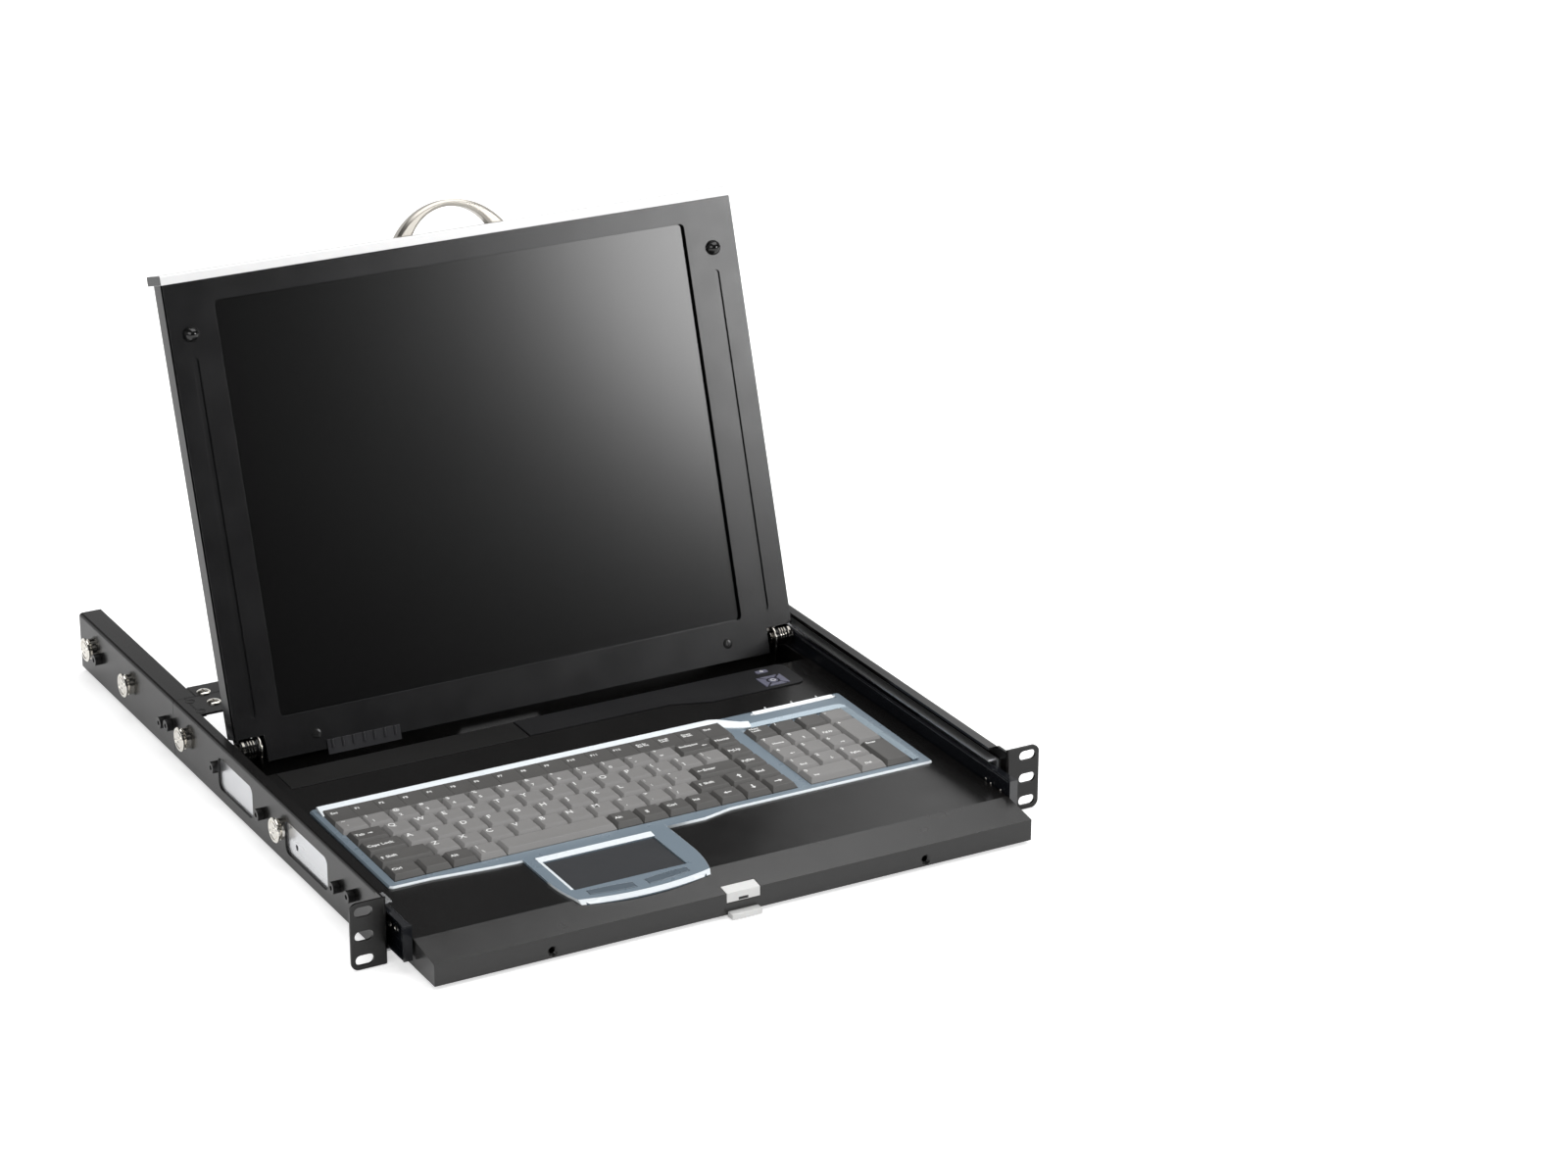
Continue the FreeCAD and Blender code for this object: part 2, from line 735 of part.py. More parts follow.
def keyboard_bezel():
    plate = board_plate()
    tongue = surround()
    tip = fold_y - tongue_reach
    foot = board_under - tongue_depth
    below_slope = prism_x([(fold_y, deck_top), (tip, deck_top - tongue_reach * math.tan(slope_angle)),
                           (tip, foot), (board_rear, foot), (board_rear, deck_top)],
                          -board_half - 1, board_half + 1)
    room = module_hole(0.0).common(box(-board_half, board_half, tip, board_rear, board_under, board_top))
    upper = fused([plate, tongue]).cut(below_slope)
    below = room.common(below_slope.fuse(box(-board_half, board_half, tip, board_rear, board_under,
                                             deck_top)))
    bezel = fused([upper, below]).cut(well_cut())
    pad_room = box(pad_centre_x - pad_width / 2 - pad_clearance, pad_centre_x + pad_width / 2 + pad_clearance,
                   pad_centre_y - pad_depth / 2 - pad_clearance, pad_centre_y + pad_depth / 2 + pad_clearance,
                   surround_top - pad_recess - pad_thickness, board_top + 1)
    bezel = bezel.cut(pad_room)
    floor = surround_top - pad_thickness - pad_button_travel - 0.2
    for side in (-1, 1):
        face = pad_button_outline(side, floor, button_clearance)
        bezel = bezel.cut(face.extrude(V(0, 0, 10)))
    lens = box(lens_left, lens_left + lens_length, lens_y - lens_width / 2, lens_y + lens_width / 2,
               board_top - lens_thickness, board_top + 1)
    return bezel.cut(lens)


def lens_strip():
    gap = 0.1
    x0, x1 = lens_left + gap, lens_left + lens_length - gap
    y0, y1 = lens_y - lens_width / 2 + gap, lens_y + lens_width / 2 - gap
    middle = (y0 + y1) / 2
    outline = [(x0, middle - 0.6), (x0 + 9, y0), (x1 - 9, y0), (x1, middle - 0.6), (x1, middle + 0.6),
               (x1 - 9, y1),
               (x0 + 9, y1), (x0, middle + 0.6)]
    return prism_z(outline, board_top - lens_thickness, board_top + 0.3)


def touchpad():
    top = surround_top - pad_recess
    return box(pad_centre_x - pad_width / 2, pad_centre_x + pad_width / 2, pad_centre_y - pad_depth / 2,
               pad_centre_y + pad_depth / 2, top - pad_thickness, top)


def touchpad_button(side):
    face = pad_button_outline(side, surround_top - pad_thickness + 0.1, 0.0)
    return face.extrude(V(0, 0, pad_thickness + 0.2))


def key_cells():
    """Every key as (group, x, y, width, depth), row by row from the front."""
    cells = []

    def row(index, y, depth, entries):
        x = well_left
        for group, units, count in entries:
            for _ in range(count):
                cells.append((group, x, y, units * key_spacing, depth))
                x += units * key_spacing

    rows = [well_front + k * key_row for k in range(6)]
    row(0, rows[0], key_row,
        [("bottom_left_keys", 1.14, 1), ("bottom_left_keys", 1.0, 3), ("space_bar", 4.14, 1),
         ("bottom_right_keys", 1.0, 6), ("navigation_keys", 1.0, 1)])
    row(1, rows[1], key_row,
        [("lower_row_keys", 2.0, 1), ("lower_row_keys", 1.0, 10), ("lower_row_keys", 1.28, 1),
         ("lower_row_keys", 1.0, 1), ("navigation_keys", 1.0, 1)])
    row(2, rows[2], key_row,
        [("home_row_keys", 1.5, 1), ("home_row_keys", 1.0, 11), ("enter_key", 1.78, 1),
         ("navigation_keys", 1.0, 1)])
    row(3, rows[3], key_row,
        [("upper_row_keys", 1.28, 1), ("upper_row_keys", 1.0, 13), ("navigation_keys", 1.0, 1)])
    row(4, rows[4], key_row,
        [("number_row_keys", 0.9, 1), ("number_row_keys", 1.0, 12), ("number_row_keys", 1.38, 1),
         ("navigation_keys", 1.0, 1)])
    row(5, rows[5], function_row, [("function_row_keys", main_row_key_count / function_keys, function_keys)])
    unit = numpad_spacing
    for column in range(4):
        cells.append(("numpad_top_keys", numpad_start + column * unit, rows[4], unit, key_row))
    for line in (1, 2, 3):
        for column in range(3):
            cells.append(("numpad_digit_keys", numpad_start + column * unit, rows[line], unit, key_row))
    cells.append(("numpad_bottom_keys", numpad_start, rows[0], 2 * unit, key_row))
    cells.append(("numpad_bottom_keys", numpad_start + 2 * unit, rows[0], unit, key_row))
    cells.append(("numpad_enter_key", numpad_start + 3 * unit, rows[0], unit, 2 * key_row))
    cells.append(("numpad_plus_key", numpad_start + 3 * unit, rows[2], unit, 2 * key_row))
    return cells


def stem_centres(x, y, width, depth):
    if width > 3 * key_spacing:
        return [(x + width * share, y + depth / 2) for share in (0.2, 0.8)]
    return [(x + width / 2, y + depth / 2)]


def rectangle(x0, x1, y0, y1, z):
    return [V(x0, y0, z), V(x1, y0, z), V(x1, y1, z), V(x0, y1, z)]


def key(x, y, width, depth):
    """One keycap: a tapered block, wider at its foot, with a square stem into the base plate."""
    gap = key_gap / 2
    low = rectangle(x + gap, x + width - gap, y + gap, y + depth - gap, key_bottom)
    scale = min(1.0, depth / key_row)
    high = rectangle(x + gap + key_inset_side, x + width - gap - key_inset_side,
                     y + gap + key_inset_front * scale, y + depth - gap - key_inset_rear * scale, key_top)
    cap = rings_solid([low, high])
    half = stem_size / 2
    stems = [box(sx - half, sx + half, sy - half, sy + half, board_under - stem_depth, key_bottom)
             for sx, sy in stem_centres(x, y, width, depth)]
    return fused([cap] + stems)


def keyboard_base():
    right = numpad_start + 4 * numpad_spacing + skirt_wall
    plate = box(well_left - skirt_wall, right, well_front - skirt_wall, well_rear + skirt_wall,
                board_under - base_plate_thickness, board_under)
    half = stem_size / 2 + stem_clearance
    holes = []
    for group, x, y, width, depth in key_cells():
        for sx, sy in stem_centres(x, y, width, depth):
            holes.append(box(sx - half, sx + half, sy - half, sy + half,
                             board_under - base_plate_thickness - 1, board_under + 1))
    return plate.cut(Part.makeCompound(holes))


# ---- screen control panel ----
def control_panel():
    front_left = panel_rear - panel_depth_left
    front_right = panel_rear - panel_depth_right
    outline = [(panel_left, panel_rear), (panel_left, front_left), (panel_jog_start, front_left),
               (panel_jog_start + panel_jog_run, front_right), (panel_right, front_right),
               (panel_right, panel_rear)]
    plate = prism_z(outline, deck_top, deck_top + panel_thickness)
    plate = rounded(plate, panel_corner_radius, V(0, 0, 1), lambda m: m.x > panel_right - 1)
    for hole in panel_holes(button_clearance):
        plate = plate.cut(hole)
    return plate


def menu_sector(centre_angle, grow, z0, z1):
    """One of the four pads round the centre button, wider than it is deep."""
    x, y = menu_x, menu_y
    reach = menu_button_reach / 2 + grow
    depth = menu_ring_radius + grow
    block = box(x - reach * 1.15, x + reach * 1.15, y - depth, y + depth, z0, z1)
    block = block.cut(cylinder_z(x, y, z0 - 1, z1 + 1, menu_inner_radius + menu_cut - grow))
    far = 40.0
    half = math.radians(45)
    shift = menu_cut / 2 - grow
    angle = math.radians(centre_angle)
    tip = (x + shift * 1.414 * math.cos(angle), y + shift * 1.414 * math.sin(angle))
    wedge = prism_z([tip, (tip[0] + far * math.cos(angle - half), tip[1] + far * math.sin(angle - half)),
                     (tip[0] + 2 * far * math.cos(angle), tip[1] + 2 * far * math.sin(angle)),
                     (tip[0] + far * math.cos(angle + half), tip[1] + far * math.sin(angle + half))], z0, z1)
    return block.common(wedge)


menu_pads = {"menu_right_button": 0, "menu_up_button": 90, "menu_left_button": 180, "menu_down_button": 270}


def panel_button_shapes(grow, z0, z1):
    shapes = {}
    for name, angle in menu_pads.items():
        shapes[name] = menu_sector(angle, grow, z0, z1)
    shapes["menu_select_button"] = cylinder_z(menu_x, menu_y, z0, z1, menu_inner_radius + grow)
    px, py = menu_x, menu_y + power_above_menu
    width, depth = power_width / 2 + grow, power_depth / 2 + grow
    shapes["screen_power_button"] = rounded_block(px - width, px + width, py - depth, py + depth, z0, z1,
                                                  1.2, V(0, 0, 1))
    return shapes


def panel_holes(grow):
    return list(panel_button_shapes(grow, deck_top - 10, deck_top + 10).values())


# ---- lid ----
def to_lid(shape):
    """Moves a shape from the lid's own axes (x, h, d) to its place on the hinge, tilted back."""
    placed = shape.copy()
    placed.translate(V(0, -hinge_h, -hinge_d))
    placed.rotate(V(0, 0, 0), V(1, 0, 0), 90 - lid_tilt)
    placed.translate(V(0, hinge_y, hinge_z))
    return placed


def hinge_notches(depth0, depth1):
    notches = []
    for side in (-1, 1):
        block = box(lid_centre_x + hinge_bracket_offset - hinge_notch_clearance,
                    lid_centre_x + shell_half_width + 5, lid_bottom - 5, hinge_notch_top,
                    depth0, depth1)
        notches.append(on_side(block, side, lid_centre_x))
    return notches


def lid_profile(inset):
    """The lid's side view as (h, d) points: flat back, thinner at the heel that passes under the frame."""
    heel_low, heel_high = lid_heel
    return [(lid_bottom + inset, -bezel_sheet), (lid_bottom + inset, -lid_heel_thickness + inset),
            (heel_low, -lid_heel_thickness + inset), (heel_high, -lid_thickness + inset),
            (lid_top - inset, -lid_thickness + inset), (lid_top - inset, -bezel_sheet)]


def lid_shell():
    left, right = lid_centre_x - shell_half_width, lid_centre_x + shell_half_width
    outside = prism_x(lid_profile(0.0), left, right)
    outside = rounded(outside, lid_edge_radius, V(0, 1, 0), lambda m: m.z < -lid_thickness + 0.1)
    inside = prism_x([(h, d if d < -bezel_sheet else 1.0) for h, d in lid_profile(lid_sheet)],
                     left + lid_sheet, right - lid_sheet)
    shell = outside.cut(inside)
    for notch in hinge_notches(-lid_thickness - 1, 1):
        shell = shell.cut(notch)
    return to_lid(shell)


def lid_bezel():
    left, right = lid_centre_x - bezel_half_width, lid_centre_x + bezel_half_width
    sheet = rounded(box(left, right, lid_bottom, lid_top, -bezel_sheet, 0), 1.0, V(0, 0, 1))
    half = screen_width / 2
    opening = rounded_block(screen_centre_x - half, screen_centre_x + half, 0, screen_height,
                            -bezel_sheet - 1, 1, 3.0, V(0, 0, 1))
    sheet = sheet.cut(opening)
    for side in (-1, 1):
        x = side * groove_offset
        groove = rounded_block(x - groove_width / 2, x + groove_width / 2, groove_bottom,
                               lid_top - groove_below_top,
                               -groove_depth, 1, groove_width / 2 - 0.01, V(0, 0, 1))
        sheet = sheet.cut(groove)
    for notch in hinge_notches(-bezel_sheet - 1, 1):
        sheet = sheet.cut(notch)
    return to_lid(sheet)


def screen_panel():
    half = screen_width / 2 + screen_margin
    body = box(screen_centre_x - half, screen_centre_x + half, -screen_margin, screen_height + screen_margin,
               leaf_back, -screen_recess)
    return to_lid(body)


def bumpers():
    domes = []
    sphere = (bumper_radius ** 2 + bumper_height ** 2) / (2 * bumper_height)
    for side in (-1, 1):
        centre = V(side * groove_offset, bumper_h, bumper_height - sphere)
        room = box(centre.x - sphere, centre.x + sphere, bumper_h - sphere, bumper_h + sphere, 0, 2 * sphere)
        dome = Part.makeSphere(sphere, centre).common(room)
        domes.append(dome)
    return to_lid(Part.makeCompound(domes))


def lid_face():
    half = shell_half_width + face_overhang
    face = box(lid_centre_x - half, lid_centre_x + half, lid_top, lid_top + face_thickness,
               -lid_thickness, face_drop)
    face = rounded(face, face_corner_radius, V(1, 0, 0), lambda m: m.y > lid_top + 1)
    return to_lid(face)


def pull_handle():
    """A bow handle: the space between two arcs, thicker at its feet, with rounded edges."""
    foot = lid_top + face_thickness
    middle = -lid_thickness / 2 - handle_depth / 2
    x = handle_centre_x
    outer, inner = handle_span / 2, handle_inner_span / 2
    a, b, c = V(x - outer, foot, middle), V(x, foot + handle_height, middle), V(x + outer, foot, middle)
    d, e, f = V(x + inner, foot, middle), V(x, foot + handle_inner_height, middle), V(x - inner, foot, middle)
    face = outline_face([Part.Arc(a, b, c).toShape(), Part.makeLine(c, d), Part.Arc(d, e, f).toShape(),
                         Part.makeLine(f, a)])
    bow = face.extrude(V(0, 0, handle_depth))
    arcs = [edge for edge in bow.Edges if isinstance(edge.Curve, Part.Circle)]
    return to_lid(bow.makeChamfer(handle_edge_radius * 0.8, arcs))


def cable_guard():
    """The ribbed strip that covers the display lead where it leaves the lid."""
    right = guard_left + guard_length
    plate = box(guard_left, right, lid_bottom - guard_drop, lid_bottom + guard_rise, 0, 0.9)
    pieces = [plate]
    pitch = guard_length / guard_ribs
    for k in range(guard_ribs):
        x = guard_left + pitch * (k + 0.5)
        rib = Part.makeCylinder(guard_rib_radius, guard_drop + guard_rise - 4,
                                V(x, lid_bottom - guard_drop + 4, 0.9), V(0, 1, 0))
        pieces.append(rib.common(box(x - 3, x + 3, lid_bottom - guard_drop, lid_bottom + guard_rise, 0.3, 4)))
    return to_lid(fused(pieces))


# ---- hinges, built on the right about the lid's centre line ----
def hinge_bracket():
    x0 = lid_centre_x + hinge_bracket_offset
    x1 = x0 + hinge_bracket_sheet
    eye = cylinder_x(x0, x1, hinge_y, hinge_z, hinge_washer_radius)
    leg = box(x0, x1, hinge_y - hinge_washer_radius, hinge_y + hinge_washer_radius,
              tray_bottom + tray_sheet, hinge_z)
    foot = box(x0 - 14, x1, hinge_y - hinge_washer_radius, hinge_y + hinge_washer_radius,
               tray_bottom + tray_sheet,
               tray_bottom + tray_sheet + hinge_bracket_sheet)
    bore = cylinder_x(x0 - 1, x1 + 1, hinge_y, hinge_z, hinge_pin_radius)
    return fused([eye, leg, foot]).cut(bore)


def hinge_pin():
    x0 = lid_centre_x + hinge_bracket_offset
    shank = cylinder_x(x0 - 0.8, x0 + hinge_bracket_sheet + hinge_barrel_length + 2.4, hinge_y, hinge_z,
                       hinge_pin_radius)
    head = cylinder_x(x0 - 1.6, x0, hinge_y, hinge_z, hinge_pin_radius + 1.6)
    return fused([shank, head])


def hinge_leaf():
    x0 = lid_centre_x + hinge_bracket_offset + hinge_bracket_sheet + hinge_side_gap
    x1 = x0 + hinge_barrel_length
    washer = Part.makeCylinder(hinge_washer_radius, hinge_washer_thickness, V(x0, hinge_h, hinge_d),
                               V(1, 0, 0))
    barrel = Part.makeCylinder(hinge_barrel_radius, x1 - x0, V(x0, hinge_h, hinge_d), V(1, 0, 0))
    block = box(x0 + 2.0, x1, hinge_h, hinge_h + hinge_leaf_length + 12, leaf_back,
                leaf_back + hinge_leaf_thickness)
    bore = Part.makeCylinder(hinge_pin_radius + hinge_pin_clearance, x1 - x0 + 2,
                             V(x0 - 1, hinge_h, hinge_d), V(1, 0, 0))
    room = prism_x([(lid_bottom - 5, -lid_heel_thickness + lid_sheet),
                    (lid_heel[0], -lid_heel_thickness + lid_sheet),
                    (lid_heel[1], leaf_back), (lid_heel[1], leaf_back - 5),
                    (lid_bottom - 5, leaf_back - 5)], x0 - 5, x1 + 5)
    return to_lid(fused([washer, barrel, block]).cut(bore).cut(room))


def build():
    for side, name in ((-1, "left"), (1, "right")):
        save("side_bracket_" + name, on_side(side_bracket(), side))
        save("rear_arm_" + name, on_side(rear_arm(), side))
        save("outer_slide_" + name, on_side(outer_slide(), side))
        save("inner_slide_" + name, on_side(inner_slide(), side))
        save("ball_retainer_" + name, on_side(ball_retainer(), side))
        save("hinge_bracket_" + name, on_side(hinge_bracket(), side, lid_centre_x))
        save("hinge_pin_" + name, on_side(hinge_pin(), side, lid_centre_x))
        save("hinge_leaf_" + name, on_side(hinge_leaf(), side, lid_centre_x))
        save("touchpad_button_" + name, touchpad_button(side))
    save("front_bridge", bridge(bridge_front, bracket_length, wall_outer - top_flange))
    save("rear_bridge", bridge(arm_start, arm_start + rear_bridge_depth, wall_outer - arm_top_flange))
    studs = [share * bracket_length for share in bracket_stud_shares]
    studs += [arm_start + offset for offset in arm_stud_offsets]
    screws = [(share * bracket_length, z) for share, z in bracket_screw_shares]
    screws += [(arm_start + offset, z) for offset, z in arm_screw_offsets]
    save("mounting_studs", both_sides([stud(y) for y in studs]))
    save("side_screws", both_sides([cap_screw(y, z) for y, z in screws]))
    save("tray_pan", tray_pan())
    save("tray_deck", tray_deck())
    save("front_bar", front_bar())
    save("latch_cap", latch_cap())
    save("latch_release", latch_release())
    save("keyboard_bezel", keyboard_bezel())
    save("keyboard_base", keyboard_base())
    save("indicator_lens", lens_strip())
    save("touchpad", touchpad())
    save("control_panel", control_panel())
    for name, shape in panel_button_shapes(0.0, deck_top - button_depth,
                                           deck_top + panel_thickness + 0.5).items():
        save(name, shape)
    groups = {}
    for group, x, y, width, depth in key_cells():
        groups.setdefault(group, []).append(key(x, y, width, depth))
    for group, caps in groups.items():
        save(group, Part.makeCompound(caps) if len(caps) > 1 else caps[0])
    save("lid_shell", lid_shell())
    save("lid_bezel", lid_bezel())
    save("screen_panel", screen_panel())
    save("lid_bumpers", bumpers())
    save("lid_face", lid_face())
    save("pull_handle", pull_handle())
    save("cable_guard", cable_guard())


build()
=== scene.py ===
import json
import math
import bmesh
import bpy
from mathutils import Matrix, Vector


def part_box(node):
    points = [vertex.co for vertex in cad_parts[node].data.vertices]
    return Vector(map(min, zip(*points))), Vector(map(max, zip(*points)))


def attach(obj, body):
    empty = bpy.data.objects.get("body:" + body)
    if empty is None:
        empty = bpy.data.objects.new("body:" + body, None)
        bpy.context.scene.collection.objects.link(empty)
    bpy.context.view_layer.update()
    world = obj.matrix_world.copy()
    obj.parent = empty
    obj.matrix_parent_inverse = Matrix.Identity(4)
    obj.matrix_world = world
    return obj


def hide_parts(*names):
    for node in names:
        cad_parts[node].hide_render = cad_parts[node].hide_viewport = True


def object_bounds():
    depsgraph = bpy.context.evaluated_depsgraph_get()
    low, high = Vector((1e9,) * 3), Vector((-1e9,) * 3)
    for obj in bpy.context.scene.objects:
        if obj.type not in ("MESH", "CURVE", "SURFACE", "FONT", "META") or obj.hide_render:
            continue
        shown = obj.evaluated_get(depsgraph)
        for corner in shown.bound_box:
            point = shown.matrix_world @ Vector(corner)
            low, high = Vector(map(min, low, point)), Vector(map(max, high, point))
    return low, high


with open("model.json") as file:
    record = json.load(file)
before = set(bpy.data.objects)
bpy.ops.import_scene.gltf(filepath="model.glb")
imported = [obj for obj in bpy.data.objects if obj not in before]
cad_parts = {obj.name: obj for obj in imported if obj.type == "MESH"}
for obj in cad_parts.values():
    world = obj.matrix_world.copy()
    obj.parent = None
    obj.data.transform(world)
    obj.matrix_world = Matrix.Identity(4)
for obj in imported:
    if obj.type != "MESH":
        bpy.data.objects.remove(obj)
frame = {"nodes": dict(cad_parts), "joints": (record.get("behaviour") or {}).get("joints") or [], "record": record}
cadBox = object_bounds()
mm = 0.001
tiny = 1e-6      # metres, below which two places count as one
degrees = {"coplanar": 0.6, "block": 30, "sheet": 35, "smooth": 40, "turned": 38, "keycap": 28}
mergeRoom = {"node": 0.01, "turned": 0.005}      # millimetres
print("frame loaded:", len(frame["nodes"]), "nodes")


# helpers for selecting, copying and shaping; sizes are in millimetres
def clearSelection():
    if bpy.context.mode != "OBJECT":
        bpy.ops.object.mode_set(mode="OBJECT")
    bpy.ops.object.select_all(action="DESELECT")


def makeActive(*objects):
    clearSelection()
    for obj in objects:
        obj.select_set(True)
    bpy.context.view_layer.objects.active = objects[-1]


def pick(obj, kind, wanted):      # kind is verts, edges or faces
    mesh = bmesh.from_edit_mesh(obj.data)
    parts = getattr(mesh, kind)
    for part in parts:
        part.select_set(False)
    for part in parts:
        if wanted(part):
            part.select_set(True)
    bmesh.update_edit_mesh(obj.data)


def boxMm(node):
    low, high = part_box(node)
    return low / mm, high / mm


def blockPiece(name, low, high):
    clearSelection()
    centre = [(a + b) / 2 * mm for a, b in zip(low, high)]
    size = [(b - a) * mm for a, b in zip(low, high)]
    bpy.ops.mesh.primitive_cube_add(size=1, location=centre, scale=size)
    piece = bpy.context.active_object
    piece.name = name
    bpy.ops.object.transform_apply(location=True, rotation=True, scale=True)
    return piece


def smoothed(angle):
    bpy.ops.object.shade_smooth_by_angle(angle=math.radians(degrees[angle]))


def roundEdges(piece, width, segments=2, angle="block"):
    makeActive(piece)
    soft = piece.modifiers.new("soft edges", "BEVEL")
    soft.width = width * mm
    soft.segments = segments
    soft.limit_method = "ANGLE"
    soft.angle_limit = math.radians(degrees[angle])
    bpy.ops.object.modifier_apply(modifier=soft.name)
    smoothed("smooth")
    flat = piece.modifiers.new("flat faces", "WEIGHTED_NORMAL")      # large faces keep their shade
    flat.keep_sharp = True
    flat.weight = 60
    bpy.ops.object.modifier_apply(modifier=flat.name)
    return piece


def movedBy(piece, matrix):
    makeActive(piece)
    piece.data.transform(matrix)
    return piece


def copyOf(piece, name):
    twin = bpy.data.objects.new(name, piece.data.copy())
    bpy.context.scene.collection.objects.link(twin)
    return twin


def joined(pieces, name):
    makeActive(*pieces)
    if len(pieces) > 1:
        bpy.ops.object.join()
    whole = bpy.context.active_object
    whole.name = name
    whole.data.name = name
    return whole


def fitted(piece, body, slot, finish=None):      # without a finish, the slot's own is used
    piece.data.materials.clear()
    piece.data.materials.append(finishes[finish or slot])
    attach(piece, body)
    return piece


def softCopy(node, name, width, segments=2, reshape=None):
    piece = copyOf(frame["nodes"][node], name)
    makeActive(piece)
    bpy.ops.object.mode_set(mode="EDIT")
    bpy.ops.mesh.select_all(action="SELECT")
    bpy.ops.mesh.remove_doubles(threshold=mergeRoom["node"] * mm)
    if reshape:
        reshape(piece)
        bpy.ops.mesh.select_all(action="SELECT")
    bpy.ops.mesh.dissolve_limited(angle_limit=math.radians(degrees["coplanar"]))
    bpy.ops.object.mode_set(mode="OBJECT")
    return roundEdges(piece, width, segments, "sheet")


def turnedPiece(name, profile, steps):      # the profile is a list of radius and height
    points = [(radius * mm, 0, height * mm) for radius, height in profile]
    mesh = bpy.data.meshes.new(name)
    mesh.from_pydata(points, [(k, k + 1) for k in range(len(points) - 1)], [])
    piece = bpy.data.objects.new(name, mesh)
    bpy.context.scene.collection.objects.link(piece)
    makeActive(piece)
    lathe = piece.modifiers.new("lathe", "SCREW")
    lathe.axis = "Z"
    lathe.steps = steps
    lathe.render_steps = steps
    lathe.use_merge_vertices = True
    lathe.merge_threshold = mergeRoom["turned"] * mm
    bpy.ops.object.modifier_apply(modifier=lathe.name)
    bpy.ops.object.mode_set(mode="EDIT")
    bpy.ops.mesh.select_all(action="SELECT")
    bpy.ops.mesh.remove_doubles(threshold=mergeRoom["turned"] * mm)
    bpy.ops.mesh.normals_make_consistent(inside=False)
    bpy.ops.object.mode_set(mode="OBJECT")
    smoothed("turned")
    return piece


def carved(piece, cutter):
    makeActive(piece)
    cut = piece.modifiers.new("carve", "BOOLEAN")
    cut.operation = "DIFFERENCE"
    cut.solver = "EXACT"
    cut.object = cutter
    bpy.ops.object.modifier_apply(modifier=cut.name)
    bpy.data.objects.remove(cutter)
    smoothed("turned")


def facing(direction, place):
    turn = Vector(direction).to_track_quat("Z", "Y").to_matrix().to_4x4()
    return Matrix.Translation([v * mm for v in place]) @ turn


def placedCopies(master, name, matrices):
    copies = []
    for matrix in matrices:
        twin = copyOf(master, name)
        twin.data.transform(matrix)
        copies.append(twin)
    bpy.data.objects.remove(master)
    return joined(copies, name)


# lid frame: x across, y into the lid, z up its face, from the lower edge of the opening
lidLook = {"tilt": 17.4, "hinge": (0.0, 3.6, -16.8)}      # lean at rest, and the hinge's place in that frame
hinge = next(joint for joint in frame["joints"] if joint["name"] == "lid_hinge")
hingePoint = Vector((0.0, hinge["pos_m"][1], hinge["pos_m"][2]))
lidTurn = Matrix.Rotation(-math.radians(lidLook["tilt"]), 4, "X")
lidFrame = Matrix.Translation(hingePoint) @ lidTurn @ Matrix.Translation([-v * mm for v in lidLook["hinge"]])


# finishes: patches of two tones, flecks, smears in the gloss and a fine grain
noiseSpan = {"tone": (0.3, 0.7), "fleck": (0.45, 0.75)}      # the used part of a noise's range


def link(tree, source, output, target, entry):
    tree.links.new(source.outputs[output], target.inputs[entry])


def noiseField(tree, look, scale, detail):
    coords = tree.nodes.new("ShaderNodeTexCoord")
    mapping = tree.nodes.new("ShaderNodeMapping")
    mapping.inputs["Scale"].default_value = look.get("stretch", (1, 1, 1))
    noise = tree.nodes.new("ShaderNodeTexNoise")
    noise.inputs["Scale"].default_value = scale
    noise.inputs["Detail"].default_value = detail
    link(tree, coords, "Object", mapping, "Vector")
    link(tree, mapping, "Vector", noise, "Vector")
    return noise


def rangeNode(tree, source, output, span, start, end):
    remap = tree.nodes.new("ShaderNodeMapRange")
    remap.inputs["From Min"].default_value = span[0]
    remap.inputs["From Max"].default_value = span[1]
    remap.inputs["To Min"].default_value = start
    remap.inputs["To Max"].default_value = end
    link(tree, source, output, remap, "Value")
    return remap


def colourMix(tree, factor, first, second):
    mix = tree.nodes.new("ShaderNodeMix")
    mix.data_type = "RGBA"
    link(tree, factor, "Result", mix, "Factor")
    for entry, colour in ((6, first), (7, second)):      # the node's two colour entries
        if isinstance(colour, tuple):
            mix.inputs[entry].default_value = (*colour, 1)
        else:
            tree.links.new(colour.outputs[2], mix.inputs[entry])
    return mix


